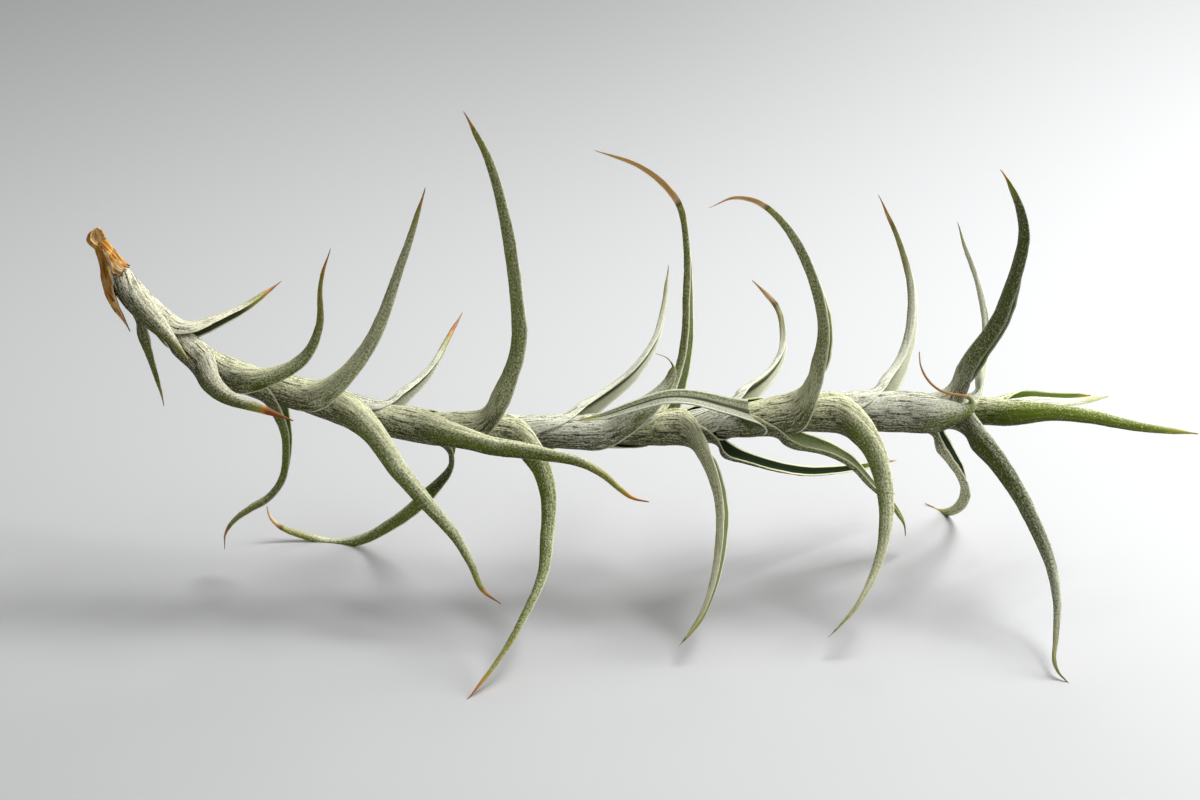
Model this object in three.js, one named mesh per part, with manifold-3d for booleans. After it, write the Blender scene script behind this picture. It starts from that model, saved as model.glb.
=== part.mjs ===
// Air plant with a long stem, resting on four of its leaves.
// Every leaf is one natural piece: a sheath rolled round the stem and the younger sheaths inside it,
// then a channelled blade that bends outwards and tapers to a point. The leaves stand in a spiral, so
// the visible trunk is nothing but their sheaths, one out of the other.
// Millimetres, +Z up, +X from the dried end to the growing tip, origin on the surface it rests on.
import * as THREE from "three";
import Module from "manifold-3d";

const wasm = await Module();
wasm.setup();

// ------------------------------------------------------------------ driving dimensions (mm)
// Places are written as [right, up, near]: seen along a sight line that looks down on the plant.
const SIGHT_TILT = THREE.MathUtils.degToRad(25); // the sight line's slope below the horizontal
const SIGHT_HEIGHT = 48; // the sight centre's height over the surface that the plant rests on
const EYE_DISTANCE = 900; // what lies nearer than the sight centre looks larger by this distance
const CENTRE_X = 11.6; // puts the origin under the middle of the plant's outline box
const CENTRE_Y = -9.2;

const LAYER = 1; // radius taken up by one sheath and the air round it
const SHEATH_THICK = 0.62;
const BLADE_THICK = 1.3; // at the midrib of a full blade
const MARGIN_THICK = 0.62;
const BLADE_RADIUS = 3.5; // half the width of a full blade where it starts
const TIP_RADIUS = 0.36;
const EXIT_SHARE = 0.7; // and at most this share of a short blade
const EXIT_MARKS = [0.2, 0.42, 0.68, 1]; // where sections stand in that length
const RING_STEP = 7.5; // between the sections of the rest of a blade
const TAPER_POWER = 0.6; // under 1, so a blade keeps its width and narrows near its tip
const THICK_SHARE = 0.65; // a thin blade is no thicker than this share of its radius
const SHEATH_DEPTH = 2; // how many younger leaves' mouths a sheath reaches back past
const EXIT_LENGTH = 15; // length over which the sheath narrows to its blade
const CLEARANCE = 0.36; // air kept between a leaf and the trunk that grows on out of it
const SHEATH_WRAP = THREE.MathUtils.degToRad(171); // half angle of the rolled sheath
const MOUTH_WRAP = THREE.MathUtils.degToRad(97);
const BLADE_WRAP = THREE.MathUtils.degToRad(88);
const TIP_WRAP = THREE.MathUtils.degToRad(75);
const SHEATH_STEP = 3.4; // between the points that carry a leaf's line along the trunk
const FRAME_STEP = 0.5; // between the places where a section's directions are worked out
const TURN_SHARE = 0.55; // a section turns so fast that its far side still moves on by the rest of this
const TIP_SETBACK = 0.9; // the last section stands this far before the end of the blade
const SWELL = 0.15; // air cut into an older leaf where a younger one presses past its margin
// Straight faces in the outer and the inner arc of a section.
const SIDES = {
  sheath: { outerCount: 10, innerCount: 10 },
  blade: { outerCount: 6, innerCount: 4 },
  slender: { outerCount: 4, innerCount: 2 },
  cap: { outerCount: 8, innerCount: 8 },
  stem: 8,
};
const STEM_STEP = 9.3;
const STEM_START = 2.2; // the stem's cut end, inside the dried cap
const STEM_END = 244;
const STEM_CUT_RADIUS = 0.52; // it widens by a tenth from there
const STEM_THINNEST = 0.6; // at the growing tip
const STEM_AIR = 0.4; // between the stem and the innermost sheath

// The trunk's middle line from the dried end to the growing tip.
const TRUNK_LINE = [
  [-125.8, 40.8, 6], [-118.8, 28.8, 5], [-112.5, 22.3, 4.5], [-103.8, 13.6, 4], [-95, 7.6, 3],
  [-82.5, 3.6, 2], [-70, 0, 1], [-50, -5.6, 0], [-25, -7.6, 0], [0, -8, 0], [25, -6, 0],
  [50, -3.2, 0], [75, -2.9, 0], [98, -2.6, 0], [106, -2.2, -1],
];
// The trunk's radius just before a sheath opens, as [distance along the trunk, radius].
const TRUNK_RADIUS = [
  [0, 3.1], [22, 3.25], [60, 3.8], [143, 4.2], [215, 4.95], [230, 4.6], [237, 3.6], [246, 1.9],
];

// The leaves, oldest first. mouth is the distance along the trunk where the blade leaves it, and
// route is the blade's middle line after that, to the tip. width scales the blade. A folded leaf's
// sections stand across its line all the way, so its route is round enough for them.
const LEAVES = [
  { name: "withered_leaf", mouth: 9.6, width: 0.5, tone: "dry", wrap: 100, sheathStart: 4,
    route: [[-121.8, 28.6, 5], [-120.6, 24.8, 5.6], [-119, 20.6, 5.8], [-117.3, 16.6, 6]] },
  { name: "torn_sheath", mouth: 10.5, width: 1, tone: "dry", sheathStart: 3.5, route: [] },
  { name: "leaf_01_pressed", mouth: 17, width: 0.9, tone: "old",
    route: [[-111, 19.4, 7], [-107.8, 15.8, 8.6], [-105, 12.8, 9.4], [-102.8, 9.8, 9.8]] },
  { name: "leaf_02_hanging", mouth: 22, width: 0.7, tone: "old",
    route: [[-114.6, 16.6, -0.5], [-113.3, 11.5, -4], [-111.2, 5, -8], [-109.2, -1.5, -10]] },
  { name: "leaf_03_rising", mouth: 30, width: 0.85, tone: "old",
    route: [[-103.6, 15.6, 4], [-99.8, 16.6, 3], [-94.5, 19.5, -1], [-88.8, 23, -6],
      [-79.8, 29.8, -12]] },
  { name: "leaf_04_tiny", mouth: 34, width: 0.45, tone: "old",
    route: [[-102.4, 14.6, -3], [-99, 14.6, -5.4]] },
  { name: "leaf_05_orange_tip", mouth: 41, width: 0.8, tone: "old",
    route: [[-96.8, 4, 9], [-92.6, 0.4, 12], [-85.5, -2, 14], [-76.8, -5.2, 15]] },
  { name: "leaf_06_s_curve", mouth: 49, width: 1, tone: "silver",
    route: [[-86.6, 4.6, 7], [-80, 6.2, 10], [-73.8, 10.6, 12], [-70.2, 18.8, 14], [-70, 27.5, 15],
      [-69.2, 32.5, 15.5], [-67.5, 37.8, 16]] },
  { name: "leaf_07_under", mouth: 59, width: 0.85, tone: "silver",
    route: [[-78.8, -1.5, 0], [-77.5, -6.5, -2], [-77.8, -12.5, -5], [-80.5, -20.5, -8],
      [-86.2, -27.5, -11], [-92, -33.2, -14], [-94, -37, -15]] },
  { name: "leaf_08_tall", mouth: 67, width: 1, tone: "silver",
    route: [[-69, 1, 5], [-63.8, 5.5, 9], [-58.8, 12.5, 12], [-54.2, 22, 15], [-51, 31.2, 18],
      [-47.8, 40, 21], [-43.8, 53, 24]] },
  { name: "leaf_09_front", mouth: 76, width: 1, tone: "silver",
    route: [[-60.5, -4, 5], [-55.8, -9, 9], [-51.2, -17, 12], [-43.8, -26.2, 14],
      [-36.2, -36.2, 16], [-30, -45.8, 17], [-25.2, -50.8, 18]] },
  { name: "leaf_10_far", mouth: 88, width: 0.9, tone: "pale",
    route: [[-50, -1.2, -5], [-46.2, 2.5, -11], [-42, 8, -18], [-38.5, 14.5, -26],
      [-34.5, 22, -34]] },
  { name: "leaf_11_along_front", mouth: 97, width: 0.95, tone: "silver",
    route: [[-40, -7.8, 6], [-34.5, -9.4, 10], [-27.5, -11.5, 14], [-20, -12.6, 18],
      [-13, -13.8, 22], [-5, -15.8, 26], [3.8, -20.6, 29], [11.8, -25.5, 31]] },
  { name: "leaf_12_back_left_foot", mouth: 104, width: 0.9, tone: "silver",
    route: [[-36.2, -11.5, -3], [-37, -17, -8], [-43, -23.2, -16], [-50.5, -29.5, -23.5],
      [-58.8, -34.3, -31], [-66.2, -35.6, -34.6], [-75, -33.2, -34.5], [-83, -27.5, -32]] },
  { name: "leaf_13_tallest", mouth: 113, width: 1, tone: "silver",
    route: [[-25.6, -3.6, 3], [-21.5, 3.8, 5], [-20, 13.8, 6], [-21, 27.5, 7], [-23.8, 45, 8],
      [-28, 60, 9], [-34.2, 72, 10]] },
  { name: "leaf_14_front_left_foot", mouth: 121, width: 1, tone: "silver",
    route: [[-17.6, -10.6, 3.5], [-14.2, -16, 7], [-12.8, -23.8, 11], [-13.5, -33.8, 16],
      [-15.5, -43.8, 22], [-20, -55, 29], [-26.5, -66.2, 34.4], [-33.5, -75, 39.6]] },
  { name: "leaf_15_far_middle", mouth: 134, width: 0.95, tone: "pale",
    route: [[-3, -3.6, -4], [2.5, 1.2, -9], [8.8, 7.5, -15], [13.8, 15, -22], [16, 23.8, -29],
      [17, 33.8, -35]] },
  { name: "leaf_16_broad_twisted", mouth: 145, width: 1.1, tone: "pale", power: 0.4,
    route: [[9, -4.4, 4], [13.6, -0.6, 5.5], [17, 4.6, 6], [17.2, 8.8, 6.5], [14, 11.2, 7]] },
  { name: "leaf_17_dry_tipped", mouth: 157, width: 0.95, tone: "silver",
    route: [[18.4, -3, -3], [21, 5, -5], [21.8, 15, -7], [22, 26.2, -9], [21.8, 37.5, -10],
      [20, 48.2, -11], [15.5, 54.2, -11.5], [9, 58.8, -12], [-1.2, 62.2, -12]] },
  { name: "leaf_18_hanging_middle", mouth: 163, width: 1, tone: "silver",
    route: [[24.4, -8, 4], [28, -13, 8], [30, -21.2, 12], [30.5, -31.2, 16], [29.2, -42.5, 20],
      [25.5, -53.8, 23], [19.5, -61.5, 25]] },
  { name: "leaf_19_dark_channel", mouth: 171, width: 0.9, tone: "green",
    route: [[30.8, -11, -6], [36.2, -14.2, -12], [43.8, -16.8, -19], [52.5, -18, -27],
      [62.5, -17.2, -35], [74, -15.2, -43]] },
  { name: "leaf_20_far_pale", mouth: 176, width: 0.85, tone: "pale",
    route: [[37.2, 0.2, -5], [41.8, 5, -11], [45, 10.5, -18], [45.8, 16.2, -24], [44.2, 23, -30],
      [38, 29.8, -36]] },
  { name: "leaf_21_reflexed", mouth: 176.6, width: 0.95, tone: "pale", bladeWrap: 62, exit: 12,
    folded: true, route: [[38.8, -4.4, 2.5], [39.5, -3.1, 7.1], [36.8, -2.4, 9.8],
      [33.6, -1.6, 10.8], [24, 0.6, 12.4], [16.8, 0.8, 13], [9.2, -1.2, 12.6], [1.2, -3.8, 12],
      [-5.5, -5.2, 11.5]] },
  { name: "leaf_22_far_down", mouth: 186, width: 0.9, tone: "silver",
    route: [[48.6, -8.6, -5], [56.2, -11.6, -9.5], [62.5, -15.5, -13.5], [68, -21.2, -18],
      [72.5, -27, -23], [76.2, -34, -28]] },
  { name: "leaf_23_hooked", mouth: 192, width: 1.05, tone: "silver",
    route: [[52.8, -0.4, 5], [56, 5, 8], [57, 13.8, 10], [55.5, 23.8, 11], [52, 33.8, 12],
      [47, 42.5, 13], [40.5, 48.8, 14], [33.8, 50.5, 14.5], [27.5, 48, 15]] },
  { name: "leaf_24_hanging_right", mouth: 202, width: 1.05, tone: "silver",
    route: [[64.2, -5.4, 5], [68.2, -10.8, 9], [70.5, -20, 12], [71.2, -30, 15], [69.5, -40.5, 18],
      [64.5, -51.2, 21], [57, -59.2, 22]] },
  { name: "leaf_25_far_tall", mouth: 211, width: 0.95, tone: "pale",
    route: [[72.4, 1.8, -5], [76, 8.8, -10], [77.8, 18.8, -15], [77.8, 28.8, -19],
      [74.5, 40.5, -24], [69.5, 51.2, -28]] },
  { name: "leaf_26_boat", mouth: 221, width: 1.45, tone: "pale", thread: 17, ringStep: 3.6,
    route: [[84, -3.8, 4], [90, -3, 5.5], [94.2, -1.2, 6.4], [93.2, 0.9, 7], [88.8, 1.3, 7.5],
      [85, 2.4, 7.6], [82, 5, 7.2], [80.2, 8.5, 6.6], [79.8, 12, 6]] },
  { name: "leaf_27_back_right_foot", mouth: 225.5, width: 0.9, tone: "green",
    route: [[86, -9, -6], [88.8, -15.5, -17], [91.2, -22, -29], [89.2, -26.8, -42],
      [85.2, -28, -50.6], [81.2, -25.8, -54]] },
  { name: "leaf_28_stout_dark", mouth: 229.5, width: 1.3, tone: "dark",
    route: [[90.8, 1.2, 1], [95.6, 9.5, 3], [100.8, 21.2, 6], [104.5, 32.5, 9], [106.2, 42, 11],
      [104.2, 50.5, 13], [100, 57.5, 14]] },
  { name: "leaf_29_front_right_foot", mouth: 233, width: 1.05, tone: "dark",
    route: [[94, -7.4, 3.5], [99.4, -14.6, 7], [104.5, -24.5, 11], [109.5, -36.2, 16],
      [112.8, -48.8, 22], [114, -61.2, 27.6], [117, -71, 32.6]] },
  { name: "leaf_30_behind", mouth: 236.5, width: 0.85, tone: "pale",
    route: [[95.6, 2.4, -5], [96.2, 9, -9], [96.8, 16, -13], [96, 22.5, -17], [94, 31, -21],
      [91.5, 37.5, -25], [89.2, 44.5, -29]] },
  { name: "leaf_31_long_right", mouth: 239.5, width: 0.78, tone: "dark",
    route: [[102.5, -3.4, 3.5], [111.2, -3, 5], [121.2, -4, 4], [135, -6.8, 0],
      [149.5, -8.5, -5]] },
  { name: "leaf_32_thin_green", mouth: 242.5, width: 0.6, tone: "dark",
    route: [[105, 0.2, -4.5], [113.8, 0.8, -17], [122.5, 1.2, -30]] },
  { name: "leaf_33_innermost", mouth: 245, width: 0.6, tone: "pale",
    route: [[109, -1.4, -1], [117, -0.6, -9], [127, 1, -20]] },
];

// The dried cap over the cut end: its sections from the stem outwards, with half angles in degrees.
const CAP_RINGS = [
  { place: [-124.5, 37.9, 5.8], radius: 1.6, wrap: 165 },
  { place: [-125.3, 39.2, 5.9], radius: 2.2, wrap: 105 },
  { place: [-125.9, 40.5, 6], radius: 2.4, wrap: 105 },
  { place: [-126.1, 42, 6.2], radius: 1.7, wrap: 105 },
];
const CAP_TIP = [-125.6, 43.3, 6.8];
const CAP_BACK = [-130, 40, 1]; // its back looks this way, its hollow the other
const CAP_HOLLOW = [-124, 38, 6];
const TORN_SIDE = [-120, 40, 10]; // the closed side of the torn sheath looks this way

const TONES = { // colour and roughness of each kind of surface
  old: [0x9a9a86, 0.85], silver: [0x9aa48c, 0.8], pale: [0xb4bba6, 0.8], green: [0x6f7f55, 0.75],
  dark: [0x5f7048, 0.7], dry: [0xb98449, 0.9], stem: [0x8a6a48, 0.95],
};

// ------------------------------------------------------------------ lines and frames
function fromSight([right, up, near]) {
  const shrink = 1 - near / EYE_DISTANCE;
  const sin = Math.sin(SIGHT_TILT);
  const cos = Math.cos(SIGHT_TILT);
  return new THREE.Vector3(
    right * shrink - CENTRE_X,
    up * shrink * sin - near * cos - CENTRE_Y,
    SIGHT_HEIGHT + up * shrink * cos + near * sin,
  );
}

// A smooth line through points: cubic pieces whose slope at a point follows its two neighbours.
function smoothLine(points) {
  const reach = [0];
  for (let i = 1; i < points.length; i += 1) {
    reach.push(reach[i - 1] + points[i].distanceTo(points[i - 1]));
  }
  const slopes = points.map((_, i) => {
    const before = Math.max(i - 1, 0);
    const after = Math.min(i + 1, points.length - 1);
    return points[after].clone().sub(points[before]).divideScalar(reach[after] - reach[before]);
  });
  return {
    length: reach[reach.length - 1],
    reach,
    at(distance) {
      let i = 0;
      while (i < points.length - 2 && reach[i + 1] < distance) i += 1;
      const span = reach[i + 1] - reach[i];
      const t = (distance - reach[i]) / span;
      return new THREE.Vector3()
        .addScaledVector(points[i], (1 + 2 * t) * (1 - t) ** 2)
        .addScaledVector(slopes[i], span * t * (1 - t) ** 2)
        .addScaledVector(points[i + 1], t * t * (3 - 2 * t))
        .addScaledVector(slopes[i + 1], span * t * t * (t - 1));
    },
  };
}

function interpolate(table, x) {
  let i = 0;
  while (i < table.length - 2 && table[i + 1][0] < x) i += 1;
  const [x0, y0] = table[i];
  const [x1, y1] = table[i + 1];
  return y0 + ((y1 - y0) * (x - x0)) / (x1 - x0);
}

const trunk = smoothLine(TRUNK_LINE.map(fromSight));
const mouthOrder = [[0, -1.6], ...LEAVES.map((leaf, order) => [leaf.mouth, order])];
const trunkRadius = (s) => interpolate(TRUNK_RADIUS, s);
const orderAt = (s) => interpolate(mouthOrder, s); // how many mouths lie before s, with fractions
const placeOfOrder = (order) => interpolate(mouthOrder.map(([s, i]) => [i, s]), order);
// Each sheath lies one layer outside the next younger one, and widens as older ones end.
const sheathRadius = (order, s) => trunkRadius(s) + LAYER * (orderAt(s) - order + 1);

// How far a point lies from the trunk's middle line, and where along the trunk that is.
const trunkSamples = [];
for (let s = 0; s <= trunk.length; s += 0.5) trunkSamples.push([s, trunk.at(s)]);
function besideTrunk(point) {
  let nearest = [0, Infinity];
  for (const [s, sample] of trunkSamples) {
    const distance = sample.distanceTo(point);
    if (distance < nearest[1]) nearest = [s, distance];
  }
  return nearest;
}

// The smallest inner radius that lets the younger trunk pass between the two margins of a leaf. With
// D from the trunk's line to the section's centre, a margin lies at D + r (out cos w ± side sin w).
function passingRadius(frame, wrap, order) {
  const [s, distance] = besideTrunk(frame.centre);
  const inside = trunkRadius(s) + LAYER * THREE.MathUtils.clamp(orderAt(s) - order, 0, 1) + CLEARANCE;
  if (distance >= inside) return 0;
  const away = frame.centre.clone().sub(trunk.at(s));
  const lean = away.dot(frame.out) * Math.cos(wrap) - Math.abs(away.dot(frame.side)) * Math.sin(wrap);
  return Math.sqrt(lean ** 2 + inside ** 2 - distance ** 2) - lean;
}

// ------------------------------------------------------------------ solids from rings
// A ring is a C-shaped section: an outer arc and an inner arc about a centre, open on one side.
function ringRows(ring, vertices) {
  const place = (angle, radius) => {
    const point = ring.centre.clone().addScaledVector(ring.out, radius * Math.cos(angle));
    vertices.push(point.addScaledVector(ring.side, radius * Math.sin(angle)));
    return vertices.length - 1;
  };
  const outer = [];
  for (let k = 0; k <= ring.outerCount; k += 1) {
    outer.push(place(ring.wrap * ((2 * k) / ring.outerCount - 1), ring.radius));
  }
  const inner = [];
  for (let k = ring.innerCount; k >= 0; k -= 1) {
    const across = (2 * k) / ring.innerCount - 1;
    const thick = ring.margin + (ring.thick - ring.margin) * Math.cos((across * Math.PI) / 2) ** 2;
    inner.push(place(ring.wrap * across, ring.radius - thick));
  }
  return {
    loop: [outer, [outer.at(-1), inner[0]], inner, [inner.at(-1), outer[0]]],
    outer,
    innerForward: [...inner].reverse(),
  };
}

function stitch(rowA, rowB, triangles) {
  let i = 0;
  let j = 0;
  while (i < rowA.length - 1 || j < rowB.length - 1) {
    const nextA = (i + 1) / (rowA.length - 1);
    const nextB = (j + 1) / (rowB.length - 1);
    if (i < rowA.length - 1 && (j === rowB.length - 1 || nextA <= nextB + 1e-9)) {
      triangles.push([rowA[i], rowA[i + 1], rowB[j]]);
      i += 1;
    } else {
      triangles.push([rowA[i], rowB[j + 1], rowB[j]]);
      j += 1;
    }
  }
}

function solidFromRings(rings, apex) {
  const vertices = [];
  const triangles = [];
  const rows = rings.map((ring) => ringRows(ring, vertices));
  stitch(rows[0].innerForward, rows[0].outer, triangles);
  for (let k = 1; k < rows.length; k += 1) {
    rows[k].loop.forEach((row, part) => stitch(rows[k - 1].loop[part], row, triangles));
  }
  const last = rows.at(-1);
  if (apex) {
    vertices.push(apex);
    for (const row of last.loop) {
      for (let i = 1; i < row.length; i += 1) triangles.push([row[i - 1], row[i], vertices.length - 1]);
    }
  } else {
    stitch(last.outer, last.innerForward, triangles);
  }
  return toManifold(vertices, triangles);
}

function toManifold(vertices, triangles) {
  const volume = triangles.reduce((sum, [a, b, c]) => {
    return sum + vertices[a].dot(new THREE.Vector3().crossVectors(vertices[b], vertices[c]));
  }, 0);
  const faces = volume > 0 ? triangles : triangles.map(([a, b, c]) => [a, c, b]);
  const mesh = new wasm.Mesh({
    numProp: 3,
    vertProperties: new Float32Array(vertices.flatMap((v) => [v.x, v.y, v.z])),
    triVerts: new Uint32Array(faces.flat()),
  });
  return new wasm.Manifold(mesh);
}

// A round rod along the trunk's middle line, its radius given by a rule.
function rodAlongTrunk(stations, radiusAt) {
  const sides = SIDES.stem;
  const vertices = [];
  const triangles = [];
  stations.forEach((s, row) => {
    const centre = trunk.at(s);
    const along = trunk.at(s + 0.5).sub(trunk.at(s - 0.5)).normalize();
    const side = new THREE.Vector3(0, 1, 0).cross(along).normalize();
    const over = along.clone().cross(side);
    for (let k = 0; k < sides; k += 1) {
      const angle = (2 * Math.PI * k) / sides;
      const spoke = side.clone().multiplyScalar(Math.cos(angle)).addScaledVector(over, Math.sin(angle));
      vertices.push(centre.clone().addScaledVector(spoke, radiusAt(s)));
      if (row > 0) {
        const here = row * sides + k;
        const next = row * sides + ((k + 1) % sides);
        triangles.push([here - sides, next - sides, here], [next - sides, next, here]);
      }
    }
  });
  const top = vertices.length;
  vertices.push(trunk.at(stations[0]), trunk.at(stations.at(-1)));
  for (let k = 0; k < sides; k += 1) {
    const next = (k + 1) % sides;
    const lastRow = (stations.length - 1) * sides;
    triangles.push([next, k, top], [lastRow + k, lastRow + next, top + 1]);
  }
  return toManifold(vertices, triangles);
}

// ------------------------------------------------------------------ one leaf
// The sections of the sheath stand across the trunk. Those of the blade turn after its line, no faster
// than lets every section lie wholly in front of the one before it.
function leafFrames(leaf, order, halfWidthAt) {
  const first = leaf.sheathStart ?? placeOfOrder(order - SHEATH_DEPTH);
  const { mouth } = leaf;
  const steps = Math.max(2, Math.round((mouth - first) / SHEATH_STEP));
  const points = [];
  for (let k = 0; k <= steps; k += 1) points.push(trunk.at(first + ((mouth - first) * k) / steps));
  const blade = leaf.route.map(fromSight);
  const line = smoothLine([...points, ...blade]);
  const mouthReach = line.reach[steps];
  // The outward direction is the side to which the blade leaves the trunk.
  const leaving = (blade[0] ?? fromSight(TORN_SIDE)).clone().sub(trunk.at(mouth));
  const square = (direction, facing) => {
    return direction.addScaledVector(facing, -direction.dot(facing)).normalize();
  };
  const frameOf = (centre, facing, out) => ({ centre, facing, out, side: facing.clone().cross(out) });
  const sheathFrame = (s) => {
    const facing = trunk.at(s + 0.5).sub(trunk.at(s - 0.5)).normalize();
    return frameOf(trunk.at(s), facing, square(leaving.clone(), facing));
  };
  const frames = [sheathFrame(mouth)];
  const bladeLength = line.length - mouthReach;
  const count = Math.ceil(bladeLength / FRAME_STEP);
  const step = bladeLength / count;
  for (let k = 1; k <= count; k += 1) {
    const v = step * k;
    const ahead = line.at(mouthReach + v).sub(line.at(mouthReach + v - 0.1)).normalize();
    const { facing, out } = frames[k - 1];
    const agreement = THREE.MathUtils.clamp(facing.dot(ahead), -1, 1);
    const mostTurn = (TURN_SHARE * Math.max(agreement, 0.1) * step) / halfWidthAt(v, bladeLength);
    const share = leaf.folded ? 1 : Math.min(1, mostTurn / Math.max(Math.acos(agreement), 1e-6));
    const turned = facing.clone().lerp(ahead, share).normalize();
    frames.push(frameOf(line.at(mouthReach + v), turned, square(out.clone(), turned)));
  }
  const bladeFrame = (v) => frames[Math.min(count, Math.round(v / step))];
  return { sheathFrame, bladeFrame, first, bladeLength };
}

function leafSolid(leaf, order, swell = 0) {
  const { mouth } = leaf;
  const mouthRadius = sheathRadius(order, mouth);
  const fullRadius = BLADE_RADIUS * leaf.width;
  const exitOf = (bladeLength) => Math.min(leaf.exit ?? EXIT_LENGTH, EXIT_SHARE * bladeLength);
  const openingAt = (v, bladeLength) => THREE.MathUtils.smoothstep(v, 0, exitOf(bladeLength));
  const halfWidthAt = (v, bladeLength) => {
    const down = Math.min(v / (leaf.thread ?? bladeLength), 1);
    const taper = TIP_RADIUS + (fullRadius - TIP_RADIUS) * (1 - down) ** (leaf.power ?? TAPER_POWER);
    return THREE.MathUtils.lerp(mouthRadius, taper, openingAt(v, bladeLength));
  };
  const { sheathFrame, bladeFrame, first, bladeLength } = leafFrames(leaf, order, halfWidthAt);
  const rings = [];
  const wrapLimit = leaf.wrap ? THREE.MathUtils.degToRad(leaf.wrap) : SHEATH_WRAP;
  const addSheathRing = (s, wrap) => {
    rings.push({
      ...sheathFrame(s),
      radius: sheathRadius(order, s) + swell,
      wrap: Math.min(wrap, wrapLimit) + swell / 4,
      thick: SHEATH_THICK + 2 * swell,
      margin: SHEATH_THICK + 2 * swell,
      ...SIDES.sheath,
    });
  };
  addSheathRing(first, SHEATH_WRAP);
  if (!leaf.sheathStart) addSheathRing(placeOfOrder(order - 1), SHEATH_WRAP);
  if (leaf.route.length === 0) {
    addSheathRing(mouth, SHEATH_WRAP);
    return solidFromRings(rings, null);
  }
  // The margins part in steps, so that the straight faces between them stay off the younger sheath.
  const openFrom = placeOfOrder(order - 1);
  for (const part of [1 / 3, 2 / 3, 1]) {
    const s = openFrom + (mouth - openFrom) * part;
    if (s > first) addSheathRing(s, THREE.MathUtils.lerp(SHEATH_WRAP, MOUTH_WRAP, part));
  }
  const exit = exitOf(bladeLength);
  const fullWrap = leaf.bladeWrap ? THREE.MathUtils.degToRad(leaf.bladeWrap) : BLADE_WRAP;
  // Rings stand closer where the blade bends away from the trunk.
  const marks = EXIT_MARKS.map((part) => part * exit);
  const rest = bladeLength - exit;
  const later = Math.max(2, Math.round(rest / (leaf.ringStep ?? RING_STEP)));
  for (let k = 1; k <= later; k += 1) marks.push(exit + (rest - TIP_SETBACK) * (k / later));
  marks.forEach((v, mark) => {
    const opening = openingAt(v, bladeLength);
    const down = Math.min(v / (leaf.thread ?? bladeLength), 1);
    const frame = bladeFrame(v);
    const openWrap = THREE.MathUtils.lerp(MOUTH_WRAP, fullWrap, opening);
    const wrap = THREE.MathUtils.lerp(openWrap, TIP_WRAP, down);
    const passing = passingRadius(frame, wrap, order) + MARGIN_THICK;
    const halfWidth = Math.max(halfWidthAt(v, bladeLength), passing);
    // A section of less than half a circle keeps its width, with its margins on the route.
    const radius = wrap < Math.PI / 2 ? halfWidth / Math.sin(wrap) : halfWidth;
    const setBack = radius * Math.max(Math.cos(wrap), 0);
    const thick = THREE.MathUtils.lerp(SHEATH_THICK, BLADE_THICK, opening);
    const outerHalf = v > bladeLength / 2 ? SIDES.slender : SIDES.blade;
    rings.push({
      ...frame,
      centre: frame.centre.clone().addScaledVector(frame.out, -setBack),
      radius: radius + swell,
      wrap: wrap + swell / radius,
      thick: Math.min(thick, THICK_SHARE * radius) + 2 * swell,
      margin: Math.min(MARGIN_THICK, THICK_SHARE * radius) + 2 * swell,
      ...(mark === 0 ? SIDES.sheath : outerHalf),
    });
  });
  const end = bladeFrame(bladeLength);
  return solidFromRings(rings, end.centre.clone().addScaledVector(end.facing, 0.2));
}

// ------------------------------------------------------------------ the plant
const plant = new THREE.Group();

function addPiece(name, solid, tone) {
  const { vertProperties, triVerts } = solid.getMesh();
  const geometry = new THREE.BufferGeometry();
  geometry.setAttribute("position", new THREE.BufferAttribute(new Float32Array(vertProperties), 3));
  geometry.setIndex(new THREE.BufferAttribute(new Uint32Array(triVerts), 1));
  geometry.computeVertexNormals();
  const [color, roughness] = TONES[tone];
  const material = new THREE.MeshStandardMaterial({ color, roughness, metalness: 0 });
  const piece = new THREE.Mesh(geometry, material);
  piece.name = name;
  plant.add(piece);
}

// The surface below: what would reach lower is worn flat, which gives each foot its small flat spot.
function surfaceBelow() {
  const depth = 20;
  const slab = new THREE.BoxGeometry(400, 300, depth).translate(0, 0, -depth / 2).toNonIndexed();
  const position = slab.getAttribute("position");
  const vertices = [];
  const triangles = [];
  const known = new Map();
  for (let i = 0; i < position.count; i += 1) {
    const point = new THREE.Vector3().fromBufferAttribute(position, i);
    const key = point.toArray().join(",");
    if (!known.has(key)) {
      known.set(key, vertices.length);
      vertices.push(point);
    }
    if (i % 3 === 0) triangles.push([]);
    triangles.at(-1).push(known.get(key));
  }
  return toManifold(vertices, triangles);
}

const below = surfaceBelow();
const leaves = LEAVES.map((leaf, order) => leafSolid(leaf, order));
LEAVES.forEach((leaf, order) => {
  let solid = leaves[order];
  for (let younger = order + 1; younger < LEAVES.length; younger += 1) {
    if (solid.intersect(leaves[younger]).volume() > 0) {
      solid = solid.subtract(leafSolid(LEAVES[younger], younger, SWELL));
    }
  }
  solid = solid.subtract(below);
  const bodies = solid.decompose().sort((a, b) => b.volume() - a.volume());
  addPiece(leaf.name, bodies[0], leaf.tone);
});

// The papery remains that curl over the cut end: a spoon with its hollow to the right and near side.
function capSolid() {
  const along = fromSight(CAP_RINGS.at(-1).place).sub(fromSight(CAP_RINGS[0].place)).normalize();
  const convex = fromSight(CAP_BACK).sub(fromSight(CAP_HOLLOW));
  const out = convex.addScaledVector(along, -convex.dot(along)).normalize();
  const side = along.clone().cross(out);
  const rings = CAP_RINGS.map(({ place, radius, wrap }) => ({
    centre: fromSight(place),
    out,
    side,
    radius,
    wrap: THREE.MathUtils.degToRad(wrap),
    thick: SHEATH_THICK,
    margin: SHEATH_THICK,
    ...SIDES.cap,
  }));
  return solidFromRings(rings, fromSight(CAP_TIP));
}
addPiece("dried_cap", capSolid(), "dry");

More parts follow.
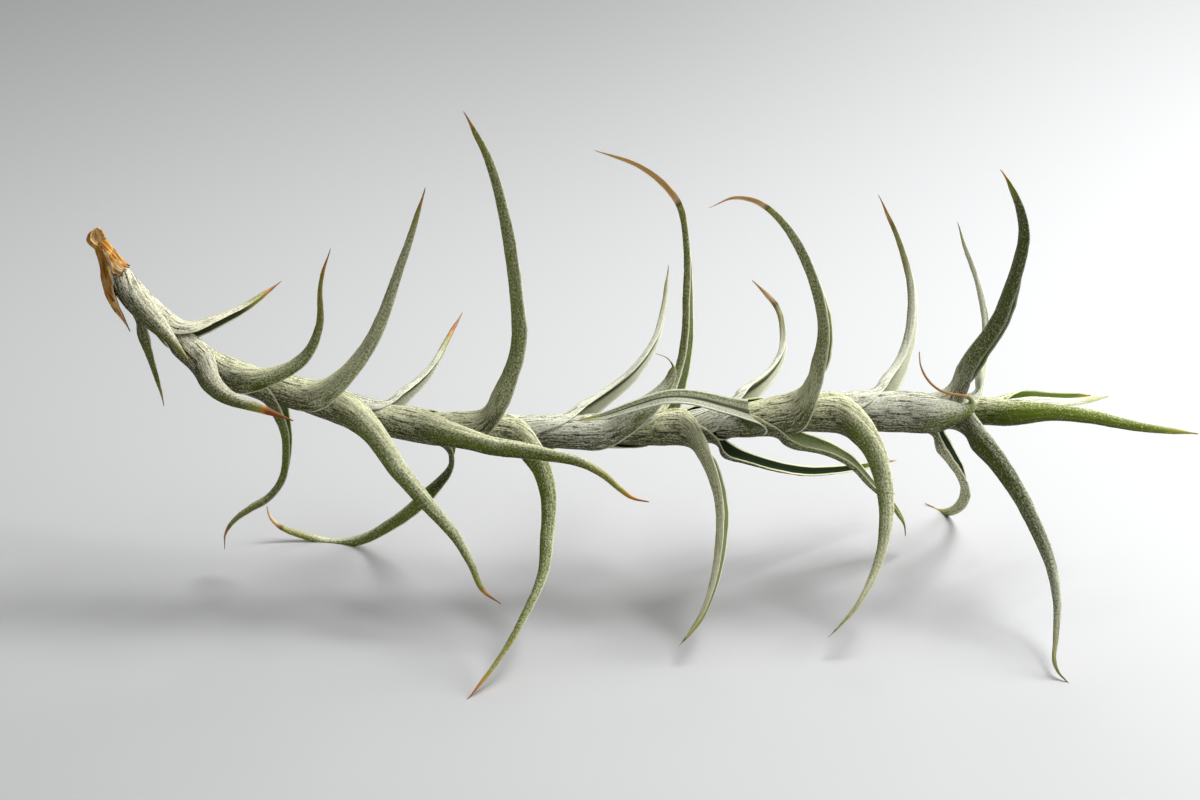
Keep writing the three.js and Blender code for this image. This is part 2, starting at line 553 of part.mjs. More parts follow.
const stemStations = [];
for (let s = STEM_START; s < STEM_END; s += STEM_STEP) stemStations.push(s);
addPiece("stem", rodAlongTrunk(stemStations, (s) => {
  const withinSheaths = trunkRadius(s) - LAYER - SHEATH_THICK - STEM_AIR;
  return Math.min(STEM_CUT_RADIUS + 0.1 * (s - STEM_START), Math.max(STEM_THINNEST, withinSheaths));
}), "stem");

export default plant;
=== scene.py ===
import math

import bpy
import numpy as np
from mathutils import Matrix, Vector


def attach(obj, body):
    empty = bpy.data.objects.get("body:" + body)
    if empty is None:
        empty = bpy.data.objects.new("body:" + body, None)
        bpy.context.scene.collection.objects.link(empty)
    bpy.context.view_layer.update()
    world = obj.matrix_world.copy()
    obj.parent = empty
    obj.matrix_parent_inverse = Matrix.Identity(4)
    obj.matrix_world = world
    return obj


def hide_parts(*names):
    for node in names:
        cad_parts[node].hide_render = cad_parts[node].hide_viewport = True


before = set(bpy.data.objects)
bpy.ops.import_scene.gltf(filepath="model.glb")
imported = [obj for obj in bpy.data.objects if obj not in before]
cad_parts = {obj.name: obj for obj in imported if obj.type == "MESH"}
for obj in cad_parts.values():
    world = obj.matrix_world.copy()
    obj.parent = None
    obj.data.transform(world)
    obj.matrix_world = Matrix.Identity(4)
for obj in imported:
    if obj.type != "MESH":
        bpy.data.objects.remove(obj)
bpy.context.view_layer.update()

# ---------------------------------------------------------------- the sight line and the camera
# The plant is laid out along a sight line that looks down on it: a place is [right, up, near] in mm
# from the sight centre. The camera stands on that line, so it sees the plant as it lies.
SIGHT_TILT = math.radians(25)
SIGHT_HEIGHT = 48.0
EYE_DISTANCE = 900.0
SIGHT_CENTRE = np.array([-11.6, 9.2, SIGHT_HEIGHT])
RIGHT = np.array([1.0, 0.0, 0.0])
UP = np.array([0.0, math.sin(SIGHT_TILT), math.cos(SIGHT_TILT)])
NEAR = np.array([0.0, -math.cos(SIGHT_TILT), math.sin(SIGHT_TILT)])
MM = 0.001
SENSOR_WIDTH = 36.0
VIEW_WIDTH = 300.0  # mm seen across the picture at the sight centre
FARTHEST_SEEN = 10.0  # m


def from_sight(places):
    """Places [right, up, near] to points in the plant's frame, all in mm. What is nearer than the
    sight centre is drawn in towards the sight line by its share of the eye's distance."""
    places = np.asarray(places, float).reshape(-1, 3)
    shrink = 1 - places[:, 2:3] / EYE_DISTANCE
    return (SIGHT_CENTRE + places[:, 0:1] * shrink * RIGHT + places[:, 1:2] * shrink * UP
            + places[:, 2:3] * NEAR)


camera = bpy.data.objects.new("camera", bpy.data.cameras.new("camera"))
bpy.context.scene.collection.objects.link(camera)
camera.data.sensor_width = SENSOR_WIDTH
camera.data.lens = SENSOR_WIDTH * EYE_DISTANCE / VIEW_WIDTH
camera.data.clip_end = FARTHEST_SEEN
axes = Matrix((Vector(RIGHT), Vector(UP), Vector(NEAR))).transposed().to_4x4()
camera.matrix_world = Matrix.Translation(Vector((SIGHT_CENTRE + EYE_DISTANCE * NEAR) * MM)) @ axes
bpy.context.scene.camera = camera

# ---------------------------------------------------------------- the stem
# A thin woody axis along the middle of the trunk, cut at its lower end. The leaves' sheaths hide it
# but for the cut end in the dried cap. Brown, dull and finely furrowed along its length.
TRUNK_LINE = [
    [-125.8, 40.8, 6], [-118.8, 28.8, 5], [-112.5, 22.3, 4.5], [-103.8, 13.6, 4], [-95, 7.6, 3],
    [-82.5, 3.6, 2], [-70, 0, 1], [-50, -5.6, 0], [-25, -7.6, 0], [0, -8, 0], [25, -6, 0],
    [50, -3.2, 0], [75, -2.9, 0], [98, -2.6, 0], [106, -2.2, -1],
]
TRUNK_RADIUS = np.array([  # distance along the trunk, radius just before a sheath opens
    [0, 3.1], [22, 3.25], [60, 3.8], [143, 4.2], [215, 4.95], [230, 4.6], [237, 3.6], [246, 1.9],
])
STEM_START, STEM_END = 2.2, 243.0
STEM_CUT_RADIUS, STEM_THINNEST = 0.52, 0.6
STEM_WIDENING = 0.1  # mm of radius for each mm from the cut end
STEM_STATION, STEM_AROUND = 0.8, 24
STEM_MAP_RADIUS = 2.5
FURROWS, FURROW_DEPTH = 7, 0.05
FURROW_SWELL = 9.0  # mm of stem for each radian by which the furrows deepen and fade
LAYER = 1.0  # radius taken up by one sheath and the air round it
SHEATH_THICK = 0.62
STEM_AIR = 0.4


def unit(vectors):
    """Each vector over its own length."""
    return vectors / np.linalg.norm(vectors, axis=-1, keepdims=True)


def smooth_line(points):
    """A smooth curve through points. Between two of them it is the cubic that has, at either end,
    the slope of the chord between that point's two neighbours. Returns the curve, as a function of
    the distance counted along the points, and those distances."""
    reach = np.append(0, np.cumsum(np.linalg.norm(np.diff(points, axis=0), axis=1)))
    index = np.arange(len(points))
    before, after = np.maximum(index - 1, 0), np.minimum(index + 1, len(points) - 1)
    slopes = (points[after] - points[before]) / (reach[after] - reach[before])[:, None]

    def at(distance):
        distance = np.atleast_1d(np.asarray(distance, float))
        i = np.minimum(np.searchsorted(reach[1:], distance), len(points) - 2)
        span = (reach[i + 1] - reach[i])[:, None]
        t = (distance - reach[i])[:, None] / span
        return (points[i] * (1 + 2 * t) * (1 - t) ** 2 + slopes[i] * span * t * (1 - t) ** 2
                + points[i + 1] * t * t * (3 - 2 * t) + slopes[i + 1] * span * t * t * (t - 1))

    return at, reach


def table_value(table, x):
    """The value of a two-column table at x: straight between its rows, and on past both ends."""
    x = np.asarray(x, float)
    i = np.clip(np.searchsorted(table[1:, 0], x), 0, len(table) - 2)
    x0, y0, x1, y1 = table[i, 0], table[i, 1], table[i + 1, 0], table[i + 1, 1]
    return y0 + (y1 - y0) * (x - x0) / (x1 - x0)


def trunk_radius(s):
    """The radius of the trunk's young middle at a distance along it."""
    return table_value(TRUNK_RADIUS, s)


trunk_at, trunk_reach = smooth_line(from_sight(TRUNK_LINE))


def trunk_facing(s):
    """The direction of the trunk's line at s, from half a mm before it to half a mm after it."""
    return unit(trunk_at(s + 0.5) - trunk_at(s - 0.5))


def put_mesh(name, points, faces, material, attributes=(), uv=None):
    """A smooth-shaded object from points in mm and a list of face arrays (each with equal corners).
    attributes are (name, one number for each point); uv is one pair of mm for each point."""
    mesh = bpy.data.meshes.new(name)
    mesh.vertices.add(len(points))
    mesh.vertices.foreach_set("co", (points * MM).astype(np.float32).ravel())
    corners = np.concatenate([face.ravel() for face in faces])
    sizes = np.concatenate([np.full(len(face), face.shape[1]) for face in faces])
    mesh.loops.add(len(corners))
    mesh.loops.foreach_set("vertex_index", corners.astype(np.int32))
    mesh.polygons.add(len(sizes))
    mesh.polygons.foreach_set("loop_start", (np.cumsum(sizes) - sizes).astype(np.int32))
    mesh.polygons.foreach_set("use_smooth", np.ones(len(sizes), bool))
    mesh.update(calc_edges=True)
    for title, values in attributes:
        layer = mesh.attributes.new(title, "FLOAT", "POINT")
        layer.data.foreach_set("value", np.asarray(values, np.float32).ravel())
    if uv is not None:
        layer = mesh.uv_layers.new(name="surface_mm")
        layer.data.foreach_set("uv", uv[corners].astype(np.float32).ravel())
    mesh.materials.append(material)
    piece = bpy.data.objects.new(name, mesh)
    bpy.context.scene.collection.objects.link(piece)
    return piece


def loft_faces(rows, around):
    """Four-cornered faces between rows of points that each run once round, first row to last."""
    row, k = np.meshgrid(np.arange(rows - 1), np.arange(around), indexing="ij")
    here, beside = row * around + k, row * around + (k + 1) % around
    return np.stack([here, here + around, beside + around, beside], -1).reshape(-1, 4)


def waves(x, seed, count=5, longest=40.0, shortest=4.0):
    """A smooth irregular value of about -1 to 1 along x (mm): a sum of sines whose lengths, phases
    and weights are seeded, each weight the root of its length."""
    draw = np.random.default_rng(seed)
    lengths = np.geomspace(longest, shortest, count) * draw.uniform(0.85, 1.15, count)
    phases = draw.uniform(0, 2 * np.pi, count)
    weights = np.sqrt(lengths / longest)
    total = sum(w * np.sin(2 * np.pi * x / length + phase)
                for w, length, phase in zip(weights, lengths, phases))
    return total / np.sqrt((weights ** 2).sum() * 2) * 1.2


def graph(name):
    """A new material, its node tree, and the one shader that the tree starts with."""
    material = bpy.data.materials.new(name)
    material.use_nodes = True
    tree = material.node_tree
    return material, tree, tree.nodes["Principled BSDF"]


def add(tree, kind, settings=(), **inputs):
    """One node: settings are its own properties, and inputs its sockets, each by its name with _
    for a space, or by _ and its number. An input is a constant or another node's output."""
    node = tree.nodes.new(kind)
    for key, value in dict(settings).items():
        setattr(node, key, value)
    for key, value in inputs.items():
        socket = node.inputs[int(key[1:]) if key[0] == "_" else key.replace("_", " ")]
        if isinstance(value, bpy.types.NodeSocket):
            tree.links.new(value, socket)
        else:
            socket.default_value = value
    return node


def between(tree, value, low, high):
    """0 where value is low, 1 where it is high, and a smooth ramp between."""
    return add(tree, "ShaderNodeMapRange", {"interpolation_type": "SMOOTHSTEP"},
               Value=value, From_Min=low, From_Max=high).outputs[0]


def combine(tree, way, a, b, c=0.0):
    """Two or three numbers put together by a Math node, in the way that it names."""
    return add(tree, "ShaderNodeMath", {"operation": way}, _0=a, _1=b, _2=c).outputs[0]


def blend(tree, share, first, second):
    """The first colour where share is 0, the second where it is 1."""
    return add(tree, "ShaderNodeMix", {"data_type": "RGBA"}, _0=share, _6=first,
               _7=second).outputs[2]


def bark():
    """Brown wood with pale furrows along the stem, on the stem's own map in mm."""
    material, tree, shader = graph("stem_wood")
    place = add(tree, "ShaderNodeUVMap", {"uv_map": "surface_mm"}).outputs[0]
    furrow = add(tree, "ShaderNodeMapping", _0=place, Scale=(4.0, 0.4, 1.0)).outputs[0]
    grain = add(tree, "ShaderNodeTexNoise", Vector=furrow, Scale=1.0, Detail=4.0).outputs[0]
    colour = blend(tree, between(tree, grain, 0.35, 0.65), (0.11, 0.06, 0.03, 1),
                   (0.32, 0.2, 0.11, 1))
    tree.links.new(colour, shader.inputs["Base Color"])
    shader.inputs["Roughness"].default_value = 0.9
    bump = add(tree, "ShaderNodeBump", Strength=0.8, Distance=0.0002, Height=grain)
    tree.links.new(bump.outputs[0], shader.inputs["Normal"])
    return material


def stem():
    """A round rod along the trunk's line: at each station a circle across the line, its radius
    widening from the cut end and then kept inside the innermost sheath, with fine furrows."""
    around, s = STEM_AROUND, np.arange(STEM_START, STEM_END, STEM_STATION)
    inside = trunk_radius(s) - LAYER - SHEATH_THICK - STEM_AIR
    radius = np.minimum(STEM_CUT_RADIUS + STEM_WIDENING * (s - STEM_START),
                        np.maximum(STEM_THINNEST, inside))
    facing = trunk_facing(s)
    side = unit(np.cross([0, 1, 0], facing))
    over = np.cross(facing, side)
    angle = np.arange(around) * 2 * np.pi / around
    furrows = (1 + FURROW_DEPTH * np.cos(FURROWS * angle)[None, :]
               * np.cos(s / FURROW_SWELL)[:, None] - FURROW_DEPTH)
    spoke = (side[:, None, :] * np.cos(angle)[None, :, None]
             + over[:, None, :] * np.sin(angle)[None, :, None])
    points = trunk_at(s)[:, None, :] + spoke * (radius[:, None] * furrows)[:, :, None]
    rows = len(s)
    points = np.vstack([points.reshape(-1, 3), trunk_at(s[0]), trunk_at(s[-1])])
    k = np.arange(around)
    last = (rows - 1) * around
    ends = np.vstack([
        np.stack([(k + 1) % around, k, np.full(around, rows * around)], -1),
        np.stack([last + k, last + (k + 1) % around, np.full(around, rows * around + 1)], -1),
    ])
    uv = np.stack([np.tile(angle * STEM_MAP_RADIUS, rows), np.repeat(s, around)], -1)
    uv = np.vstack([uv, [[0, s[0]], [0, s[-1]]]])
    return put_mesh("stem_fine", points, [loft_faces(rows, around)[:, ::-1], ends[:, ::-1]],
                    bark(), uv=uv)


piece = stem()
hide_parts("stem")
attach(piece, "root")

# ---------------------------------------------------------------- the leaves: form
# Each leaf is one piece: a sheath rolled round the stem and the younger sheaths, then a channelled
# blade that bends outwards and tapers to a point. The trunk is nothing but their sheaths. Fleshy,
# ribbed along its length and covered with silvery scales.
MOUTHS = {  # distance along the trunk where each blade leaves it, oldest leaf first
    "withered_leaf": 9.6, "torn_sheath": 10.5, "leaf_01_pressed": 17, "leaf_02_hanging": 22,
    "leaf_03_rising": 30, "leaf_04_tiny": 34, "leaf_05_orange_tip": 41, "leaf_06_s_curve": 49,
    "leaf_07_under": 59, "leaf_08_tall": 67, "leaf_09_front": 76, "leaf_10_far": 88,
    "leaf_11_along_front": 97, "leaf_12_back_left_foot": 104, "leaf_13_tallest": 113,
    "leaf_14_front_left_foot": 121, "leaf_15_far_middle": 134, "leaf_16_broad_twisted": 145,
    "leaf_17_dry_tipped": 157, "leaf_18_hanging_middle": 163, "leaf_19_dark_channel": 171,
    "leaf_20_far_pale": 176, "leaf_21_reflexed": 176.6, "leaf_22_far_down": 186,
    "leaf_23_hooked": 192, "leaf_24_hanging_right": 202, "leaf_25_far_tall": 211,
    "leaf_26_boat": 221, "leaf_27_back_right_foot": 225.5, "leaf_28_stout_dark": 229.5,
    "leaf_29_front_right_foot": 233, "leaf_30_behind": 236.5, "leaf_31_long_right": 239.5,
    "leaf_32_thin_green": 242.5, "leaf_33_innermost": 245,
}
ORDER = {name: order for order, name in enumerate(MOUTHS)}
ORDER_AT_START = -1.6  # carries the spacing of the mouths on to the trunk's lower end
ORDER_TABLE = np.array([[0, ORDER_AT_START]] + [[s, ORDER[name]] for name, s in MOUTHS.items()])
BLADE_THICK = 1.3
EDGE_THICK = 0.2  # the thin outermost edge of a margin
BLADE_RADIUS = 3.5
TIP_RADIUS, TIP_REACH = 0.34, 0.2
TAPER_POWER = 0.62
THICK_SHARE = 0.65  # of the radius: the most that a leaf is thick
SHEATH_DEPTH = 2  # mouths that a sheath runs down past
EXIT_LENGTH = 15.0  # over which a blade leaves the trunk's roundness
EXIT_SHARE = 0.7  # of the blade's length: the most that this takes
MIDDLE_SHARE = 0.55  # of the radius: a blade's body, not its section's centre, lies on its line
PASSING_SHARE = 0.94  # of the radius that would clear the younger trunk
POINT_LENGTH, POINT_SHARE = 7.0, 0.45  # the last mm of a tip, and the share of its width left
SNUG = 0.4  # by how much a sheath's mouth hugs the younger sheath inside it
CLEARANCE = 0.05
EASED_SHEATH = 8.0  # mm of sheath before its mouth that are evened out with the blade's start
WRAP_REACH, RADIUS_REACH = 10, 14  # rows to either side, for the evening of a leaf's sections
FRAME_REACH, CENTRE_REACH = 10, 8
FOLDED_FRAME_REACH, FOLDED_CENTRE_REACH = 2, 3
SHEATH_WRAP, MOUTH_WRAP, BLADE_WRAP, TIP_WRAP = 171, 97, 88, 75  # degrees to either side
SHEATH_STEP = 3.4  # between the points that lead a leaf's line along the trunk
TURN_SHARE = 0.55  # of the turn at which the far sides of two sections would meet
STATION = 0.5  # mm between the rows of a leaf
STRIPS = 48  # across each of its two faces
RIB_PITCHES = (3.3, 2.1, 1.5)
RIB_MEAN, RIB_SPAN = 0.6, 1.5  # about the mean of |sin|, and half the range of the sum
RIB_DRIFT = 0.02  # the most radians for each mm of leaf
RIB_HEIGHT, INNER_RIB_HEIGHT = 0.1, 0.04
LUMP_LENGTH, LUMP_HEIGHT, INNER_LUMP_HEIGHT = 22, 0.06, 0.05
RIPPLE_LENGTH, MARGIN_RIPPLE = 24, 0.02  # mm, and the share of the angle across
SMOOTH_UNDER, RIBBED_OVER = 0.4, 2.0  # mm of radius
TOWARD_KEY_LIGHT = np.array([0.3, 0.1, 0.95])  # the key light's direction, for painted light and shade and where the scales lie thickest


def smoothstep(x, low, high):
    """0 below low, 1 above high, and 3t² - 2t³ between."""
    t = np.clip((x - low) / (high - low), 0, 1)
    return t * t * (3 - 2 * t)


def order_at(s):
    """How many mouths lie before s, with fractions between them."""
    return table_value(ORDER_TABLE, s)


def place_of_order(order):
    """The distance along the trunk before which so many mouths lie."""
    return table_value(ORDER_TABLE[:, ::-1], order)


def sheath_radius(order, s):
    """Each sheath lies a layer outside the next younger one, and widens as older ones end. Near its
    own mouth it is drawn in by SNUG."""
    lead = order_at(s) - order + 1
    return trunk_radius(s) + LAYER * lead - SNUG * np.clip(lead, 0, 1)


def evened(values, reach):
    """Values along a row, each replaced by the mean of those up to reach places away."""
    window = np.ones(2 * reach + 1) / (2 * reach + 1)
    padded = np.pad(values, [(reach, reach)] + [(0, 0)] * (values.ndim - 1), "edge")
    return np.apply_along_axis(np.convolve, 0, padded, window, "valid")


def square_to(direction, facing):
    """The part of a direction that stands square to facing, as a unit vector."""
    return unit(direction - (direction * facing).sum(-1, keepdims=True) * facing)


def blade_frames(start, line, mouth_reach, length, half_width, folded):
    """Sections of a blade every STATION along its line. Their facing turns after the line, no
    faster than lets the far side of each section still move on, and out is carried along with it,
    square to it. Returns the distances from the mouth, the line's points, facing and out."""
    count = math.ceil(length / STATION)
    v = np.linspace(0, length, count + 1)
    ahead = unit(line(mouth_reach + v) - line(mouth_reach + v - 0.1))
    facing, out = np.empty((count + 1, 3)), np.empty((count + 1, 3))
    facing[0], out[0] = start
    for k in range(1, count + 1):
        agreement = float(np.clip(facing[k - 1] @ ahead[k], -1, 1))
        most = TURN_SHARE * max(agreement, 0.1) * v[1] / half_width(v[k])
        share = 1.0 if folded else min(1.0, most / max(math.acos(agreement), 1e-6))
        facing[k] = unit(facing[k - 1] + (ahead[k] - facing[k - 1]) * share)
        out[k] = square_to(out[k - 1], facing[k])
    return v, line(mouth_reach + v), facing, out


TRUNK_SAMPLES = np.arange(0, trunk_reach[-1], 0.25)


def passing_radius(centre, out, side, wrap, order):
    """The smallest inner radius that lets the younger trunk pass between the two margins. With D
    from the trunk's line to the section's centre, a margin lies at D + r (out cos wrap ± side sin
    wrap)."""
    apart = np.linalg.norm(centre[:, None, :] - trunk_at(TRUNK_SAMPLES)[None], axis=-1)
    s, distance = TRUNK_SAMPLES[apart.argmin(1)], apart.min(1)
    inside = trunk_radius(s) + (LAYER - SNUG) * np.clip(order_at(s) - order, 0, 1) + CLEARANCE
    away = centre - trunk_at(s)
    lean = (away * out).sum(1) * np.cos(wrap) - np.abs((away * side).sum(1)) * np.sin(wrap)
    need = np.sqrt(np.maximum(lean ** 2 + inside ** 2 - distance ** 2, 0)) - lean
    return np.where(distance >= inside, 0, need)


def leaf_sections(name, route, width, wrap=SHEATH_WRAP, sheath_start=None, power=TAPER_POWER,
                  blade_wrap=BLADE_WRAP, thread=None, exit_length=EXIT_LENGTH, folded=False,
                  twist=(0, 0), slant=0.0):
    """The sections of a leaf, from the sheath's lower end to the tip. A section is an arc about a
    centre, in the plane of out and side, that reaches an angle w to either side of out. The
    sheath's sections stand across the trunk and the blade's across the smooth curve through the
    route. The half width h runs from the sheath's radius at the mouth, over exit_mm, to TIP_RADIUS
    + (width · BLADE_RADIUS - TIP_RADIUS) (1 - share of the length)^power, and the radius is
    h / sin w where the arc is under half a circle.
    wrap is the most of w, in degrees, on the sheath, and blade_wrap w where the blade has opened.
    twist turns the blade about its own line, by so many degrees near its start and near its tip,
    and slant leans the sections where it begins. thread is the length by which a blade has become
    a thread, and folded says that it turns back sharply on itself at the mouth.
    Returns what the next function takes: a value for each row, and the tip's end."""
    order, mouth = ORDER[name], MOUTHS[name]
    first = sheath_start
    if first is None:
        first = float(place_of_order(order - SHEATH_DEPTH))
    steps = max(2, int((mouth - first) / SHEATH_STEP + 0.5))
    lead = trunk_at(np.linspace(first, mouth, steps + 1))
    blade = from_sight(route)
    line, reach = smooth_line(np.vstack([lead, blade]))
    mouth_reach, length = reach[steps], reach[-1] - reach[steps]
    exit_mm, eased_mm = min(exit_length, EXIT_SHARE * length), min(EASED_SHEATH, mouth - first)
    mouth_radius, full_radius = float(sheath_radius(order, mouth)), BLADE_RADIUS * width
    thread_from = thread or length

    def half_width(v):
        down = np.minimum(v / thread_from, 1)
        taper = TIP_RADIUS + (full_radius - TIP_RADIUS) * (1 - down) ** power
        return mouth_radius + (taper - mouth_radius) * smoothstep(v, 0, exit_mm)

    # The sheath's sections stand across the trunk.
    s = np.linspace(first, mouth, math.ceil((mouth - first) / STATION) + 1)
    facing = trunk_facing(s)
    out = square_to(np.broadcast_to(blade[0] - trunk_at(mouth)[0], facing.shape), facing)
    bare_from = place_of_order(order - 1)
    parting = np.clip((s - bare_from) / (mouth - bare_from), 0, 1)
    widest, at_mouth, at_tip = np.radians([SHEATH_WRAP, MOUTH_WRAP, TIP_WRAP])
    sheath_wrap = np.minimum(widest + (at_mouth - widest) * parting, math.radians(wrap))

    # The blade's sections follow its line, and those under half a circle keep their width.
    v, centre, blade_facing, blade_out = blade_frames(
        (facing[-1], out[-1]), line, mouth_reach, length, half_width, folded)
    later = smoothstep(v, 0.3 * length, 0.9 * length)
    turn = smoothstep(v, 0, 0.2 * length) * (twist[0] * (1 - later) + twist[1] * later)
    turn = np.radians(turn)[:, None]
    blade_out = blade_out * np.cos(turn) + np.cross(blade_facing, blade_out) * np.sin(turn)
    opening, down = smoothstep(v, 0, exit_mm), np.minimum(v / thread_from, 1)
    open_wrap = at_mouth + (math.radians(blade_wrap) - at_mouth) * opening
    blade_wraps = open_wrap + (at_tip - open_wrap) * down
    blade_side = np.cross(blade_facing, blade_out)
    passing = passing_radius(centre, blade_out, blade_side, blade_wraps, order)
    half = np.maximum(half_width(v), PASSING_SHARE * evened(passing, RADIUS_REACH))
    radius = half / np.where(blade_wraps < np.pi / 2, np.sin(blade_wraps), 1)
    settled = 0 if folded or thread else smoothstep(v, 0.4 * exit_mm, 2 * exit_mm)
    centre = centre - blade_out * (
        radius * np.maximum(np.cos(blade_wraps), MIDDLE_SHARE * settled))[:, None]

    # Where the sheath goes over into the blade, everything is evened out to one long sweep.
    along = np.append(s - mouth, v[1:])
    ease = smoothstep(along, -eased_mm, 0) * (1 - smoothstep(along, exit_mm, 2 * exit_mm))
    frame_reach, centre_reach = ((FOLDED_FRAME_REACH, FOLDED_CENTRE_REACH) if folded
                                 else (FRAME_REACH, CENTRE_REACH))

    def eased(values, reach):
        share = ease.reshape((-1,) + (1,) * (values.ndim - 1))
        return values + (evened(values, reach) - values) * share

    facing = unit(eased(np.vstack([facing, blade_facing[1:]]), frame_reach))
    out = square_to(eased(np.vstack([out, blade_out[1:]]), frame_reach), facing)
    leaning = smoothstep(along, -1, 3) * (1 - smoothstep(along, 5, 14))
    side = np.cross(facing, out) + slant * leaning[:, None] * RIGHT
    centre = eased(np.vstack([trunk_at(s), centre[1:]]), centre_reach)
    radius = eased(np.append(sheath_radius(order, s), radius[1:]), RADIUS_REACH)
    radius = radius * (1 - (1 - POINT_SHARE) * smoothstep(along, length - POINT_LENGTH, length))
    wraps = eased(np.append(sheath_wrap, blade_wraps[1:]), WRAP_REACH)
    thick = np.append(np.full(len(s), SHEATH_THICK),
                      SHEATH_THICK + (BLADE_THICK - SHEATH_THICK) * opening[1:])
    thick = np.minimum(thick, THICK_SHARE * radius)
    tip = np.maximum(centre[-1] + blade_facing[-1] * TIP_REACH, [-np.inf, -np.inf, 0])
    return along, length, exit_mm, centre, out, side, radius, wraps, thick, tip


def leaf_surface(name, route, width, seed=0, ribs=1.0, ripple=1.0, **shape):
    """A leaf's closed surface over its sections, row by row. A row is an outer arc from margin to
    margin and an inner arc back: the point at share x (-1 to 1) across stands at angle x · wrap
    from out. The inner arc lies inside by a thickness that falls as 1 - x⁴ from the midrib to a
    thin edge. The radius carries ribs, each |sin| of the arc over its pitch with a seeded phase and
    drift, and small lumps, and the angle a slight ripple. All of them fade out towards the tip, and
    nothing goes below the surface that the plant rests on. Returns points, faces, what colours
    them, the map in mm and the blade's length."""
    along, length, exit_mm, centre, out, side, radius, wraps, thick, tip = leaf_sections(
        name, route, width, **shape)
    x = np.linspace(-1, 1, STRIPS + 1)
    fade = smoothstep(radius, SMOOTH_UNDER, RIBBED_OVER)[:, None]
    one_side, other_side = (waves(along, seed + margin, longest=RIPPLE_LENGTH)[:, None]
                            for margin in (1, 2))
    spread = np.where(x[None, :] < 0, one_side, other_side)
    angle = wraps[:, None] * x[None, :] * (1 + MARGIN_RIPPLE * ripple * spread)
    draw = np.random.default_rng(seed)
    phases, drifts = draw.uniform(0, 2 * np.pi, 3), draw.uniform(-RIB_DRIFT, RIB_DRIFT, 3)
    arc = angle * np.maximum(radius, 1.5)[:, None]
    rib = sum(np.abs(np.sin(np.pi * arc / pitch + phase + drift * along[:, None])) - RIB_MEAN
              for pitch, phase, drift in zip(RIB_PITCHES, phases, drifts)) / RIB_SPAN
    lump = waves(along[:, None] + 5 * np.sin(2 * angle), seed + 3, longest=LUMP_LENGTH)
    outer = radius[:, None] + fade * (ribs * RIB_HEIGHT * rib + LUMP_HEIGHT * lump)
    edge = np.minimum(EDGE_THICK, 0.4 * radius)[:, None]
    depth = edge + (thick[:, None] - edge) * (1 - np.abs(x[None, :]) ** 4)
    inner = (radius[:, None] + fade * INNER_LUMP_HEIGHT * lump - depth
             - fade * ribs * INNER_RIB_HEIGHT * np.abs(rib))

    def row(angles, radii):
        return (centre[:, None, :] + out[:, None, :] * (radii * np.cos(angles))[..., None]
                + side[:, None, :] * (radii * np.sin(angles))[..., None])

    points = np.concatenate([row(angle, outer), row(angle, inner)[:, ::-1]], axis=1)
    points[..., 2] = np.maximum(points[..., 2], 0)
    rows, around = points.shape[:2]
    arc = np.concatenate([arc, arc[:, ::-1]], axis=1)
    # How far each point faces the key light: it drives the painted light and shade of the skin and
    # where the scales lie thickest.
    spoke = (out[:, None, :] * np.cos(angle)[..., None]
             + side[:, None, :] * np.sin(angle)[..., None]) @ TOWARD_KEY_LIGHT
    columns = {
        "across": np.abs(np.append(x, x[::-1])),
        "inner": np.append(np.zeros(STRIPS + 1), np.ones(STRIPS + 1)),
        "key_light_facing": np.concatenate([spoke, -spoke[:, ::-1]], axis=1),
        "along": along[:, None],
        "sheath": 1 - smoothstep(along, -2, exit_mm)[:, None],
    }
    columns = {key: np.broadcast_to(value, (rows, around)) for key, value in columns.items()}
    columns = {key: np.append(value.ravel(), value[-1].mean()) for key, value in columns.items()}
    uv = np.vstack([np.stack([arc.ravel(), columns["along"][:-1]], -1), [[0, along[-1]]]])
    k = np.arange(STRIPS)
    lower_end = np.stack([k, k + 1, around - 2 - k, around - 1 - k], -1)
    last = (rows - 1) * around
    loop = np.arange(around)
    apex = np.stack([last + loop, last + (loop + 1) % around, np.full(around, rows * around)], -1)
    faces = [loft_faces(rows, around), lower_end, apex[:, ::-1]]
    return np.vstack([points.reshape(-1, 3), tip]), faces, columns, uv, length


TAN_END = ((0.12, 0.045, 0.015, 1), (0.92, 0.66, 0.36, 1), (0.85, 0.53, 0.2, 1))
RED_END = ((0.45, 0.38, 0.05, 1), (0.66, 0.27, 0.02, 1), (0.32, 0.07, 0.01, 1))
END_STOPS = (0.15, 0.45, 0.9)  # where those three colours lie, from the drying front to the tip
WEATHERED = (0.1, 0.095, 0.045, 1)  # an exposed sheath under its scales
AGEING = (0.4, 0.38, 0.07, 1)  # the blade before its dry end
BLOOM = (0.92, 0.92, 0.61, 1)  # the silvery scales, slightly warm


